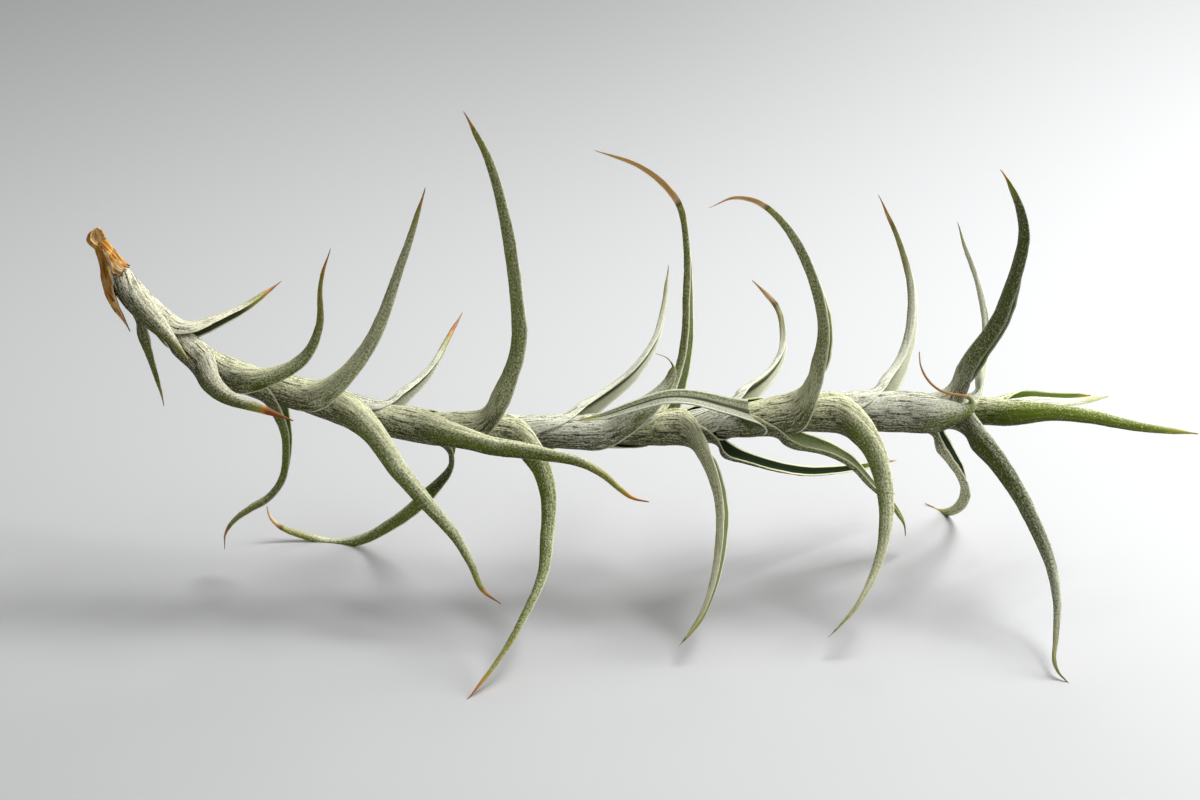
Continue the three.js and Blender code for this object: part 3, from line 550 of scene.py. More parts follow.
def leaf_skin(name, flesh, channel, bloom, cover, inner_cover=0.15, channel_shade=0.0, shaded_furrows=1.0,
              roughness=0.75, rim_white=0.8, weathered=0.85):
    """A leaf's finish, on its own map in mm and its attributes. flesh is the green of the outer
    face, painted in shade where it turns away from the key light, and channel that of the inner,
    on most skins kept dark both for its own deeper green and as painted shade in the hollow;
    bloom the colour of the silvery scales and cover how thickly they lie outside, inner_cover
    inside, the scales' colour lying thicker, as painted light, where the leaf faces the key light.
    rim_white is how white the margins are, channel_shade how dark the painted shade along the
    middle of the channel is, shaded_furrows how dark the painted shade in the furrows along the
    sheath is, and weathered how far its green has gone."""
    material, tree, shader = graph(name)
    place = add(tree, "ShaderNodeUVMap", {"uv_map": "surface_mm"}).outputs[0]

    def own(title):
        return add(tree, "ShaderNodeAttribute", {"attribute_name": title}).outputs["Fac"]

    def noise(across, along, detail, warp=0.0):
        """Noise of about -0.5 to 0.5 whose grains are so many mm wide and long."""
        spot = add(tree, "ShaderNodeMapping", _0=place, Scale=(1 / across, 1 / along, 1)).outputs[0]
        grains = add(tree, "ShaderNodeTexNoise", Vector=spot, Scale=1.0, Detail=detail,
                     Roughness=0.6, Distortion=warp).outputs[0]
        return combine(tree, "SUBTRACT", grains, 0.5)

    def times(value, factor):
        return combine(tree, "MULTIPLY", value, factor)

    def shade(colour, factor):
        return tuple(factor * c for c in colour[:3]) + (1,)

    across, inner, sheath, dry = map(own, ("across", "inner", "sheath", "dry"))
    key_light_facing, redness, coat = own("key_light_facing"), own("redness"), own("coat")
    speckle, streak = noise(0.48, 0.6, 2.0), noise(0.34, 4.0, 2.0, 0.3)
    furrow, cloud = noise(0.5, 7.0, 2.0, 0.5), noise(6.0, 14.0, 2.0)

    # How thickly the scales' colour lies: more where the leaf faces the key light, which is painted
    # light, and in a grain and in streaks along it.
    level = combine(tree, "MULTIPLY_ADD", key_light_facing, 0.75, cover - 0.1)
    level = combine(tree, "MULTIPLY_ADD", cloud, 0.4, level)
    level = combine(tree, "MULTIPLY_ADD", sheath, 0.2, level)
    level = combine(tree, "MULTIPLY_ADD", between(tree, level, 0.0, 1.1), 0.8, 0.04)
    level = combine(tree, "ADD", level, coat)
    level = combine(tree, "MULTIPLY_ADD", speckle, 1.9, level)
    streaks = times(streak, combine(tree, "ADD", sheath, 0.4))
    level = combine(tree, "MULTIPLY_ADD", streaks, 1.8, level)
    scaled = between(tree, level, 0.0, 1.1)

    # Furrows run along the leaf, painted dark with shade in their depth and sunk by the bump, and
    # fade out along the blade.
    shaded_furrow = times(between(tree, furrow, -0.05, -0.14),
                   combine(tree, "MULTIPLY_ADD", sheath, 0.65 * shaded_furrows, 0.3 * shaded_furrows))
    # Painted shade: the flesh darkens to a quarter where the leaf faces away from the key light.
    green = blend(tree, between(tree, key_light_facing, -0.15, -0.9), flesh, shade(flesh, 0.25))
    green = blend(tree, times(sheath, weathered), green, WEATHERED)
    outer = blend(tree, shaded_furrow, blend(tree, scaled, green, bloom), shade(WEATHERED, 0.2))
    # Painted shade along the middle of the channel, its deepest part, which also thins the scales'
    # colour there.
    middle = times(between(tree, across, 0.5, 0.1), channel_shade)
    hollow = blend(tree, middle, channel, shade(channel, 0.15))
    inside = blend(tree, times(times(scaled, inner_cover), combine(tree, "SUBTRACT", 1.0, middle)),
                   hollow, bloom)
    face = blend(tree, inner, outer, inside)
    face = blend(tree, times(between(tree, across, 0.91, 0.96), rim_white), face, bloom)

    # The drying tip: its front is ragged, since the speckle moves it along the leaf. The blade
    # turns yellow before it.
    front = combine(tree, "MULTIPLY_ADD", speckle, 0.3, dry)
    face = blend(tree, times(between(tree, front, -1.7, -0.2), 0.7), face, AGEING)
    ends = []
    for tones in (TAN_END, RED_END):
        ramp = add(tree, "ShaderNodeValToRGB", Fac=front)
        stops = ramp.color_ramp.elements
        stops.new(0.5)
        for stop, position, colour in zip(stops, END_STOPS, tones):
            stop.position = position
            stop.color = colour
        ends.append(ramp.outputs[0])
    dried = blend(tree, times(scaled, 0.12), blend(tree, redness, *ends), bloom)
    skin = blend(tree, between(tree, front, 0.03, 0.18), face, dried)
    tree.links.new(skin, shader.inputs["Base Color"])
    shader.inputs["Roughness"].default_value = roughness
    shader.inputs["Specular IOR Level"].default_value = 0.1

    relief = combine(tree, "MULTIPLY_ADD", speckle, 1.5, times(shaded_furrow, -0.8))
    bump = add(tree, "ShaderNodeBump", Strength=0.45, Distance=0.0002, Height=relief)
    tree.links.new(bump.outputs[0], shader.inputs["Normal"])
    return material


def outward(points, faces):
    """The faces turned, if need be, so that they look out. The volume that they close, the sum over
    their triangles of a · (b × c) / 6, is then positive."""
    volume = 0.0
    for face in faces:
        corner = points[face]
        for i in range(1, face.shape[1] - 1):
            volume += (corner[:, 0] * np.cross(corner[:, i], corner[:, i + 1])).sum()
    return faces if volume > 0 else [face[:, ::-1] for face in faces]


OUTER_FACES = {}  # of every leaf, by slot: what the scales are seated on
MOUTH_COAT_UNTIL = 0.15  # of the blade's length


def leaf(name, route, width, skin, slot, dries=(0.93, 1.0), redness=0.7, coat=(0.0, 0.0),
         **shape):
    """Makes a leaf in place of its node. dries gives where its tip starts to dry and where it is
    dry through, as shares of the blade's length, and redness goes from a tan end (0) to a red one
    (1). coat is how much thicker than on its like the scales lie near the mouth and at the tip."""
    seed = 10 * ORDER[name]
    points, faces, columns, uv, length = leaf_surface(name, route, width, seed=seed, **shape)
    low, high = dries
    columns["dry"] = np.clip((columns["along"] / length - low) / (high - low), -3, 1)
    columns["redness"] = np.full(len(points), redness)
    columns["coat"] = np.interp(columns["along"] / length, (0, MOUTH_COAT_UNTIL, 1), (0, *coat))
    piece = put_mesh(name + "_fine", points, outward(points, faces), skin,
                     attributes=columns.items(), uv=uv)
    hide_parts(name)
    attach(piece, "root")
    bare_from = -MOUTHS[name] + float(place_of_order(ORDER[name] - 1))
    around = 2 * STRIPS + 2
    grid = {key: value[:-1].reshape(-1, around)[:, :STRIPS + 1]
            for key, value in columns.items()}
    grid["place"] = points[:-1].reshape(-1, around, 3)[:, :STRIPS + 1]
    grid["bare"] = (grid["along"] > bare_from) & (grid["dry"] < 0)
    OUTER_FACES.setdefault(slot, []).append(grid)


# ---------------------------------------------------------------- the withered leaf and torn sheath
# The two lowest leaves have died. One hangs brown and folded with a pale margin; of the other only
# the papery orange sheath is left, torn off all round with a dark edge. Both still clasp the stem.
PAPER_THICK = 0.3
WITHERED_ROUTE = [[-121.8, 28.6, 5], [-120.6, 24.8, 5.6], [-119, 20.6, 5.8], [-117.3, 16.6, 6]]
WITHERED_SHRINKAGE = 0.3  # of the sheath's radius
TORN_START, TORN_EDGE, TORN_JAG = 1.6, 10.2, 1.2
TORN_WRAP = math.radians(172)
TORN_FOLD, TORN_FLARE = 0.16, 0.2
TORN_ROWS, TORN_COLUMNS = 40, 97


def papery_skin():
    """Dead leaf: streaks of brown and orange along it, cream where the pale attribute says and dark
    where the charred one does."""
    material, tree, shader = graph("papery_skin")
    place = add(tree, "ShaderNodeUVMap", {"uv_map": "surface_mm"}).outputs[0]
    body = add(tree, "ShaderNodeTexCoord").outputs["Object"]
    pale, charred = (add(tree, "ShaderNodeAttribute", {"attribute_name": title}).outputs["Fac"]
                     for title in ("pale", "charred"))
    strip = add(tree, "ShaderNodeMapping", _0=place, Scale=(1.6, 0.22, 1)).outputs[0]
    streak = add(tree, "ShaderNodeTexNoise", Vector=strip, Scale=1.0, Detail=4.0).outputs[0]
    blotch = add(tree, "ShaderNodeTexNoise", Vector=body, Scale=420.0, Detail=3.0).outputs[0]
    colour = blend(tree, between(tree, streak, 0.38, 0.62), (0.26, 0.1, 0.018, 1),
                   (0.78, 0.37, 0.06, 1))
    colour = blend(tree, between(tree, blotch, 0.5, 0.68), colour, (0.85, 0.54, 0.16, 1))
    cream = blend(tree, between(tree, streak, 0.35, 0.6), (0.62, 0.42, 0.18, 1),
                  (0.95, 0.84, 0.58, 1))
    colour = blend(tree, pale, colour, cream)
    ragged = combine(tree, "MULTIPLY_ADD", combine(tree, "SUBTRACT", blotch, 0.5), 0.8, charred)
    colour = blend(tree, between(tree, ragged, 0.3, 0.75), colour, (0.06, 0.025, 0.01, 1))
    tree.links.new(colour, shader.inputs["Base Color"])
    shader.inputs["Roughness"].default_value = 0.8
    shader.inputs["Specular IOR Level"].default_value = 0.2
    bump = add(tree, "ShaderNodeBump", Strength=0.9, Distance=0.0003, Height=streak)
    tree.links.new(bump.outputs[0], shader.inputs["Normal"])
    return material


PAPERY_SKIN = papery_skin()


def papery_piece(node, points, faces, pale, charred, uv):
    """A dried piece in place of its node. pale and charred are one number for each point."""
    piece = put_mesh(node + "_fine", points, outward(points, faces), PAPERY_SKIN,
                     attributes=(("pale", pale), ("charred", charred)), uv=uv)
    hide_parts(node)
    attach(piece, "root")


def withered_leaf():
    """The leaf form with strong folds along it, its sheath drawn in towards the trunk's line. Its
    margin is pale; it is dark where the sheath goes over into the shrivelled blade, and at its
    end."""
    points, faces, columns, uv, length = leaf_surface(
        "withered_leaf", WITHERED_ROUTE, width=0.62, wrap=100, sheath_start=3.4, power=0.65,
        seed=3, ribs=3.5, ripple=3.0)
    along = columns["along"]
    middle = trunk_at(np.clip(along + MOUTHS["withered_leaf"], 0, MOUTHS["withered_leaf"]))
    shrunk = 1 - WITHERED_SHRINKAGE * (1 - smoothstep(along, -6, 1))
    points = middle + (points - middle) * shrunk[:, None]
    pale = smoothstep(columns["across"], 0.82, 0.93) * (1 - columns["inner"]) * 0.85
    charred = 0.35 * np.exp(-((along - 3) / 3.5) ** 2) + smoothstep(along, length - 2, length)
    papery_piece("withered_leaf", points, faces, pale, charred, uv)


def shell(centre, out, side, radius, angle, thick):
    """A thin closed sheet bent round a line: outer face from margin to margin, inner face back, and
    both ends closed. All but the last are arrays of rows by columns. Returns points and faces."""
    spoke = out * np.cos(angle)[..., None] + side * np.sin(angle)[..., None]
    outer = centre + spoke * radius[..., None]
    inner = centre + spoke * (radius - thick)[..., None]
    points = np.concatenate([outer, inner[:, ::-1]], axis=1)
    rows, around = points.shape[:2]
    k = np.arange(around // 2 - 1)
    end = np.stack([k, k + 1, around - 2 - k, around - 1 - k], -1)
    faces = [loft_faces(rows, around), end, (end + (rows - 1) * around)[:, ::-1]]
    return points.reshape(-1, 3), faces


def twice(values):
    """Values of the outer face, carried over to the inner one in a shell's order."""
    return np.concatenate([values, values[:, ::-1]], axis=1).ravel()


def torn_sheath():
    """A tube round the stem, slit along the far side. Each column of points runs from the lower end
    to a torn edge whose distance varies in jags round the tube. Folds along it vary its radius,
    which flares as the cube of the share of the way to the edge."""
    x, share = np.linspace(-1, 1, TORN_COLUMNS)[None, :], np.linspace(0, 1, TORN_ROWS)[:, None]
    angle = TORN_WRAP * x * (1 + MARGIN_RIPPLE * waves(6 * share, 4))
    edge = TORN_EDGE + TORN_JAG * waves(9 * x, 11, count=7, longest=9, shortest=0.7)
    s = TORN_START + share * (edge - TORN_START)
    centre, facing = trunk_at(s.ravel()), trunk_facing(s.ravel())
    out = square_to(from_sight([-120, 40, 10]) - centre, facing)
    side = np.cross(facing, out)
    folds = waves(3 * angle + 0.3 * s, 12, count=6, longest=5, shortest=0.7)
    radius = sheath_radius(ORDER["torn_sheath"], s) + TORN_FOLD * folds + TORN_FLARE * share ** 3
    shape = s.shape + (3,)
    points, faces = shell(centre.reshape(shape), out.reshape(shape), side.reshape(shape), radius,
                          angle, PAPER_THICK)
    pale = smoothstep(share, 0.55, 0.8) * smoothstep(waves(4 * angle, 13, longest=12), -0.2, 0.5)
    charred = smoothstep(share, 0.86, 1.02) * (0.75 + 0.35 * x)
    papery_piece("torn_sheath", points, faces, twice(0.5 * pale), twice(charred),
                 np.stack([twice(angle * radius), twice(s)], -1))


withered_leaf()
torn_sheath()

# ---------------------------------------------------------------- the silvery leaves
# Full-grown leaves along the trunk, two of which are the feet at the left on which the plant rests.
# Grey-green under a thick coat of silvery scales, furrowed along the sheath, each rooted by its
# sheath on the stem.
# Its channel colour is darker than the flesh: partly its own deeper green, partly painted shade in
# the hollow.
SILVER_SKIN = leaf_skin("silver_skin", flesh=(0.17, 0.22, 0.02, 1), channel=(0.04, 0.07, 0.004, 1),
                        bloom=BLOOM, cover=0.36)
SILVER_LEAVES = [
    dict(name="leaf_06_s_curve", coat=(0.1, 0.1), redness=0.9, width=0.95, power=0.8,
         twist=(-25, -35), blade_wrap=76, dries=(0.82, 1.0),
         route=[[-86.6, 4.6, 7], [-80, 6.2, 10], [-73.8, 10.6, 12], [-70.2, 18.8, 14],
                [-70, 27.5, 15], [-69.2, 32.5, 15.5], [-67.5, 37.8, 16]]),
    dict(name="leaf_07_under", redness=0.5, width=0.85, dries=(0.86, 1.0),
         route=[[-78.8, -1.5, 0], [-77.5, -6.5, -2], [-77.6, -12.5, -5], [-79.3, -19.6, -8],
                [-82.8, -24.2, -10], [-87.4, -27, -12], [-91.4, -30, -13.6],
                [-93.8, -33.6, -14.6], [-94, -37.2, -15]]),
    dict(name="leaf_08_tall", coat=(0.45, 0.45), redness=0.8, width=0.95, power=0.7,
         dries=(0.91, 1.0),
         route=[[-69, 1, 5], [-63.8, 5.5, 9], [-58.8, 12.5, 12], [-54.2, 22, 15],
                [-51, 31.2, 18], [-47.8, 40, 21], [-43.8, 53, 24]]),
    dict(name="leaf_09_front", coat=(0.1, 0.1), redness=0.8, width=1.1, power=0.9,
         dries=(0.9, 0.97),
         route=[[-60.5, -4, 5], [-55.8, -9, 9], [-51.2, -17, 12], [-43.6, -26, 14],
                [-36.4, -34.2, 15.6], [-32.4, -41, 16.5], [-29.4, -47.6, 17.4],
                [-24.9, -51, 18]]),
    dict(name="leaf_11_along_front", redness=1, width=0.95, power=0.95, dries=(0.88, 1.0),
         route=[[-40, -7.8, 6], [-34.5, -9.4, 10], [-27.5, -11.5, 14], [-20, -12.6, 18],
                [-13, -13.8, 22], [-5, -15.6, 26], [0.6, -18.6, 28], [4.8, -22.2, 29.2],
                [8.2, -24.6, 30.2], [12.1, -25.5, 31]]),
    dict(name="leaf_12_back_left_foot", redness=0.1, width=0.9, power=0.8, dries=(0.9, 0.98),
         route=[[-36.2, -11.5, -3], [-37, -17, -8], [-43, -23.2, -16], [-50.5, -29.5, -23.5],
                [-58.8, -34.3, -31], [-66.2, -35.6, -34.6], [-73.6, -33.9, -34.6],
                [-79.2, -32, -34], [-82.3, -29.4, -33], [-83.2, -26.4, -32]]),
    dict(name="leaf_13_tallest", coat=(0.2, 0.25), width=1.5, twist=(-14, 0), blade_wrap=80,
         dries=(0.93, 1.0),
         route=[[-25.6, -3.6, 3], [-21.5, 3.8, 5], [-20, 13.8, 6], [-21, 27.5, 7], [-23.8, 45, 8],
                [-28, 60, 9], [-34.2, 72, 10]]),
    dict(name="leaf_14_front_left_foot", coat=(-0.15, -0.4), redness=0.9, width=1.1,
         dries=(0.88, 1.0),
         route=[[-17.6, -10.6, 3.5], [-14.2, -16, 7], [-12.8, -23.8, 11], [-13.5, -33.8, 16],
                [-14.5, -43.6, 22], [-19.4, -55, 29], [-26.2, -66.2, 34.4], [-33.5, -75, 39.6]]),
    dict(name="leaf_17_dry_tipped", coat=(0.1, 0.15), redness=0.1, width=1.15, power=0.85,
         twist=(6, 36), blade_wrap=80, dries=(0.69, 0.74),
         route=[[18.4, -3, -3], [21, 5, -5], [21.8, 15, -7], [22, 26.2, -9], [21.8, 37.5, -10],
                [20, 48.2, -11], [15.5, 54.2, -11.5], [9, 58.8, -12], [-1.2, 62.2, -12]]),
    dict(name="leaf_18_hanging_middle", coat=(0.45, 0.8), redness=0.0, width=1.35, power=0.62,
         twist=(38, 28), blade_wrap=78, dries=(0.95, 1.06),
         route=[[24.4, -8, 4], [28, -13, 8], [30, -21.2, 12], [30.5, -31.2, 16],
                [29.2, -42.5, 20], [25.5, -53.8, 23], [19.5, -61.5, 25]]),
    dict(name="leaf_22_far_down", coat=(0.1, 0.3), redness=0.2, width=0.95, power=0.55,
         twist=(-8, -6), dries=(0.97, 1.1),
         route=[[48.6, -8.6, -5], [56.2, -11.6, -9.5], [62.5, -15.5, -13.5], [68, -21.2, -18],
                [72.7, -25.8, -22.6], [75.7, -30.4, -26], [76.2, -34, -28]]),
    dict(name="leaf_23_hooked", coat=(0.35, 0.35), redness=0.1, width=1.95, power=1.15,
         twist=(-46, -12), blade_wrap=76, dries=(0.79, 0.85),
         route=[[52.8, -0.4, 5], [56, 5, 8], [57, 13.8, 10], [55.5, 23.8, 11], [52, 33.8, 12],
                [47, 42.5, 13], [40.5, 48.8, 14], [33.8, 50.5, 14.5], [27.5, 48, 15]]),
    dict(name="leaf_24_hanging_right", coat=(0.0, 0.45), redness=0.1, width=1.2, power=0.68,
         twist=(0, 22), dries=(0.95, 1.06),
         route=[[64.2, -5.4, 5], [68.2, -10.8, 9], [70.5, -20, 12], [71.2, -30, 15],
                [69.5, -40.5, 18], [64.5, -51.2, 21], [57, -59.2, 22]]),
]
for details in SILVER_LEAVES:
    leaf(skin=SILVER_SKIN, slot="silver_leaf", **details)

# ---------------------------------------------------------------- the pale leaves
# Leaves on the far side and near the tip, so thickly scaled that they look whitish, with orange
# tips. One is short, broad and twisted, one folds back along the trunk over its own sheath, and
# one has a boat-like sheath with a thread of a blade.
PALE_SKIN = leaf_skin("pale_skin", flesh=(0.22, 0.27, 0.04, 1), channel=(0.15, 0.18, 0.05, 1),
                      bloom=(0.92, 0.92, 0.76, 1), cover=0.55, inner_cover=0.6, channel_shade=0.9)
PALE_LEAVES = [
    dict(name="leaf_10_far", redness=0.75, width=0.9, dries=(0.76, 0.86),
         route=[[-50, -1.2, -5], [-46.2, 2.5, -11], [-42, 8, -18], [-38.5, 14.5, -26],
                [-34.5, 22, -34]]),
    dict(name="leaf_15_far_middle", coat=(0.3, 0.6), redness=0.3, width=0.95, dries=(0.94, 1.1),
         route=[[-3, -3.6, -4], [2.5, 1.2, -9], [8.8, 7.5, -15], [13.8, 15, -22], [16, 23.8, -29],
                [17, 33.8, -35]]),
    dict(name="leaf_16_broad_twisted", redness=0.3, width=1.2, power=0.35, twist=(0, -20),
         thread=25, dries=(0.84, 0.89),
         route=[[9, -4.4, 4], [13.6, -0.8, 5.5], [17.6, 4, 6], [18.8, 7.8, 6.5], [17, 10.4, 6.8],
                [14, 11.6, 7]]),
    dict(name="leaf_20_far_pale", coat=(0.2, 0.6), redness=0.1, width=0.85, dries=(0.78, 0.95),
         route=[[37.2, 0.2, -5], [41.8, 5, -11], [45, 10.5, -18], [45.8, 16.2, -24],
                [44.2, 23, -30], [38, 29.8, -36]]),
    dict(name="leaf_21_reflexed", redness=0.2, width=0.95, blade_wrap=62, exit_length=12.0,
         folded=True, slant=0.5, dries=(0.98, 1.05),
         route=[[38.3, -4.4, 2.5], [38.7, -3.1, 7.1], [36.2, -2.4, 9.8], [33.2, -1.6, 10.8],
                [24, 0.6, 12.4], [16.8, 0.8, 13], [9.2, -1.2, 12.6], [1.2, -3.8, 12],
                [-5.5, -5.2, 11.5]]),
    dict(name="leaf_25_far_tall", coat=(0.15, 0.5), redness=0.4, width=1.1, dries=(0.82, 1.0),
         route=[[72.4, 1.8, -5], [76, 8.8, -10], [77.8, 18.8, -15], [77.8, 28.8, -19],
                [74.5, 40.5, -24], [69.5, 51.2, -28]]),
    dict(name="leaf_26_boat", redness=0.5, width=1.45, thread=17, dries=(0.52, 0.56),
         route=[[84, -3.8, 4], [90, -3, 5.5], [94.2, -1.2, 6.4], [93.2, 0.9, 7], [88.8, 1.3, 7.5],
                [85, 2.4, 7.6], [82, 5, 7.2], [80.2, 8.5, 6.6], [79.8, 12, 6]]),
    dict(name="leaf_30_behind", coat=(0.2, 0.7), redness=0.2, width=0.9, dries=(0.95, 1.05),
         route=[[95.6, 2.4, -5], [96.2, 9, -9], [96.8, 16, -13], [96, 22.5, -17], [94, 31, -21],
                [91.5, 37.5, -25], [89.2, 44.5, -29]]),
    dict(name="leaf_33_innermost", redness=0.2, width=0.6, dries=(0.95, 1.2),
         route=[[109, -1.4, -1], [117, -0.6, -9], [127, 1, -20]]),
]
for details in PALE_LEAVES:
    leaf(skin=PALE_SKIN, slot="pale_leaf", **details)

# ---------------------------------------------------------------- the green leaves
# Two leaves on the shaded side whose channels show dark green between pale margins, with hardly a
# scale inside. The second is the foot at the back right.
# The near-black green of the channel is partly its own colour and partly painted shade in the
# hollow.
GREEN_SKIN = leaf_skin("green_skin", flesh=(0.13, 0.16, 0.02, 1), channel=(0.006, 0.016, 0.001, 1),
                       bloom=BLOOM, cover=0.42, inner_cover=0.0)
GREEN_LEAVES = [
    dict(name="leaf_19_dark_channel", redness=0.2, width=0.68, dries=(0.96, 1.06),
         route=[[30.8, -11, -6], [36.2, -14.2, -12], [43.8, -16.8, -19], [52.5, -18, -27],
                [62.5, -17.2, -35], [74, -15.2, -43]]),
    dict(name="leaf_27_back_right_foot", coat=(0.4, 0.5), redness=0.1, width=1.2, power=0.8,
         dries=(0.95, 1.04),
         route=[[86, -9, -6], [88.8, -15.5, -17], [91.2, -22, -29], [89.2, -26.8, -42],
                [85.2, -28, -50.6], [81.2, -25.8, -54]]),
]
for details in GREEN_LEAVES:
    leaf(skin=GREEN_SKIN, slot="green_leaf", **details)

# ---------------------------------------------------------------- the growing tip
# The youngest full leaves, firm and dark green with a thin coat of scales, one of them the foot at
# the front right, and the two slim bright ones that have just come out of the middle.
# Its channel, darker than the flesh, is partly its own deeper green and partly painted shade in the
# hollow.
DARK_SKIN = leaf_skin("dark_skin", flesh=(0.09, 0.115, 0.014, 1), channel=(0.03, 0.055, 0.003, 1),
                      bloom=(0.72, 0.74, 0.56, 1), cover=0.2, inner_cover=0.1, shaded_furrows=0.7,
                      roughness=0.5, rim_white=0.3)
DARK_LEAVES = [
    dict(name="leaf_28_stout_dark", coat=(0.1, 0.1), width=2.0, twist=(-16, 0), blade_wrap=80,
         dries=(0.94, 1.0),
         route=[[90.8, 1.2, 1], [95.6, 9.5, 3], [100.8, 21.2, 6], [104.5, 32.5, 9],
                [106.2, 42, 11], [104.2, 50.5, 13], [100, 57.5, 14]]),
    dict(name="leaf_29_front_right_foot", coat=(-0.05, 0.7), redness=0.2, width=1.2, power=0.75,
         dries=(0.96, 1.1),
         route=[[94, -7.4, 3.5], [99.4, -14.6, 7], [104.7, -24.2, 11], [109.6, -34, 15],
                [112.8, -42.4, 18.8], [114.2, -51, 23], [113.9, -60, 27.2],
                [113.5, -65, 29.6], [114.6, -68.3, 31.2], [117.2, -71, 32.6]]),
]
for details in DARK_LEAVES:
    leaf(skin=DARK_SKIN, slot="dark_leaf", **details)

YOUNG_SKIN = leaf_skin("young_skin", flesh=(0.15, 0.2, 0.018, 1), channel=(0.14, 0.22, 0.012, 1),
                       bloom=BLOOM, cover=0.1, inner_cover=0.1, shaded_furrows=0.8, roughness=0.5,
                       rim_white=0.5, weathered=0.0)
YOUNG_LEAVES = [
    dict(name="leaf_31_long_right", coat=(-0.3, -0.3), redness=0.2, width=0.78, power=0.8,
         dries=(0.97, 1.1),
         route=[[102.5, -3.4, 3.5], [111.2, -3, 5], [121.2, -4, 4], [135, -6.8, 0],
                [149.5, -8.5, -5]]),
    dict(name="leaf_32_thin_green", width=0.6,
         route=[[105, 0.2, -4.5], [113.8, 0.8, -17], [122.5, 1.2, -30]]),
]
for details in YOUNG_LEAVES:
    leaf(skin=YOUNG_SKIN, slot="dark_leaf", **details)

# ---------------------------------------------------------------- the old leaves of the base
# The lowest living leaves, short, greyed and stiff, whose tips have dried yellow, orange or brown.
# Their sheaths still clasp the stem and the younger ones inside them.
OLD_SKIN = leaf_skin("old_skin", flesh=(0.15, 0.18, 0.02, 1), channel=(0.02, 0.03, 0.003, 1),
                     bloom=(0.9, 0.87, 0.66, 1), cover=0.4, inner_cover=0.05)
OLD_LEAVES = [
    dict(name="leaf_01_pressed", redness=0.9, width=0.9, power=0.9, dries=(0.93, 1.08),
         route=[[-111, 19.4, 7], [-107.8, 15.8, 8.6], [-105, 12.8, 9.4], [-102.8, 9.8, 9.8]]),
    dict(name="leaf_02_hanging", redness=0.9, width=0.8, twist=(-45, -45), dries=(0.9, 1.0),
         route=[[-113, 16.8, -0.5], [-111.8, 11.5, -4], [-110.4, 5, -8], [-109.2, -1.5, -10]]),
    dict(name="leaf_03_rising", redness=0.9, width=1.1, power=0.75, twist=(-22, -28),
         dries=(0.8, 0.92),
         route=[[-103.6, 15.6, 4], [-99.8, 16.6, 3], [-94.5, 19.5, -1], [-88.8, 23, -6],
                [-79.8, 29.8, -12]]),
    dict(name="leaf_04_tiny", width=0.45, dries=(0.5, 1.0),
         route=[[-102.4, 14.6, -3], [-99, 14.6, -5.4]]),
    dict(name="leaf_05_orange_tip", redness=0.95, width=0.8, power=0.85, dries=(0.72, 0.8),
         route=[[-96.8, 4, 9], [-92.6, 0.4, 12], [-85.5, -2, 14], [-76.8, -5.2, 15]]),
]
for details in OLD_LEAVES:
    leaf(skin=OLD_SKIN, slot="old_leaf", **details)

# ---------------------------------------------------------------- the silvery scales
# Every living leaf is covered with stiff silvery hairs in the shape of tiny shields, rooted in its
# skin and standing up from it at their outer end. They are thickest along the margins and on the
# side that looks up to the light, and make the frosted outline of the plant.
SCALES_PER_MM2 = {"silver_leaf": 3.6, "pale_leaf": 3.6, "green_leaf": 3.0, "dark_leaf": 1.6,
                  "old_leaf": 3.6}
SCALES_ANYWHERE, SCALES_SUNWARD, SCALES_ON_MARGIN = 0.45, 0.9, 1.6  # parts of that number
SCALE_LENGTH, SCALE_WIDTH, SCALE_RISE = 0.34, 0.15, 0.07
SCALE_SINK, SCALE_HEEL = 0.04, 0.1
SCALE_TURN = 0.45  # radians, the spread of the directions in which they point
SCALES_ABOVE = 0.01  # mm that the lowest keep above the surface that the plant rests on
FIRST_SCALE_SEED = 900


def scale_flakes(grid, per_mm2, seed):
    """One leaf's scales. Seats are drawn over the outer face, each cell's share being its area
    times how thickly scales lie there. A scale is a flat four-cornered solid: two corners of its
    heel on the skin, one sunk in it, and one that reaches forward and up."""
    draw = np.random.default_rng(seed)
    place = grid["place"]
    ahead, aside = place[1:, :-1] - place[:-1, :-1], place[:-1, 1:] - place[:-1, :-1]
    over = np.cross(aside, ahead)
    area = np.linalg.norm(over, axis=-1)
    margin = smoothstep(grid["across"][:-1, :-1], 0.84, 0.94)
    sunward = np.clip(grid["key_light_facing"][:-1, :-1], 0, 1)
    thickly = SCALES_ANYWHERE + SCALES_SUNWARD * sunward + SCALES_ON_MARGIN * margin
    share = (area * thickly * grid["bare"][:-1, :-1]).ravel()
    count = int(per_mm2 * share.sum())
    cell = draw.choice(share.size, count, p=share / share.sum())
    row, column = np.divmod(cell, area.shape[1])
    u, v = draw.uniform(0, 1, (2, count, 1))
    seat = place[row, column] + u * ahead[row, column] + v * aside[row, column]
    forward, up = unit(ahead[row, column]), unit(over[row, column])
    turn = draw.normal(0, SCALE_TURN, (count, 1))
    forward = forward * np.cos(turn) + np.cross(up, forward) * np.sin(turn)
    across = np.cross(up, forward)
    size = draw.uniform(0.6, 1.2, (count, 1))
    rise = SCALE_RISE * size * draw.uniform(0.3, 1.3, (count, 1))
    corners = np.stack([
        seat + across * SCALE_WIDTH / 2 * size,
        seat - across * SCALE_WIDTH / 2 * size,
        seat - up * SCALE_SINK + forward * SCALE_HEEL,
        seat + forward * SCALE_LENGTH * size + up * rise,
    ], 1)
    corners[..., 2] = np.maximum(corners[..., 2], SCALES_ABOVE)
    return corners.reshape(-1, 3)


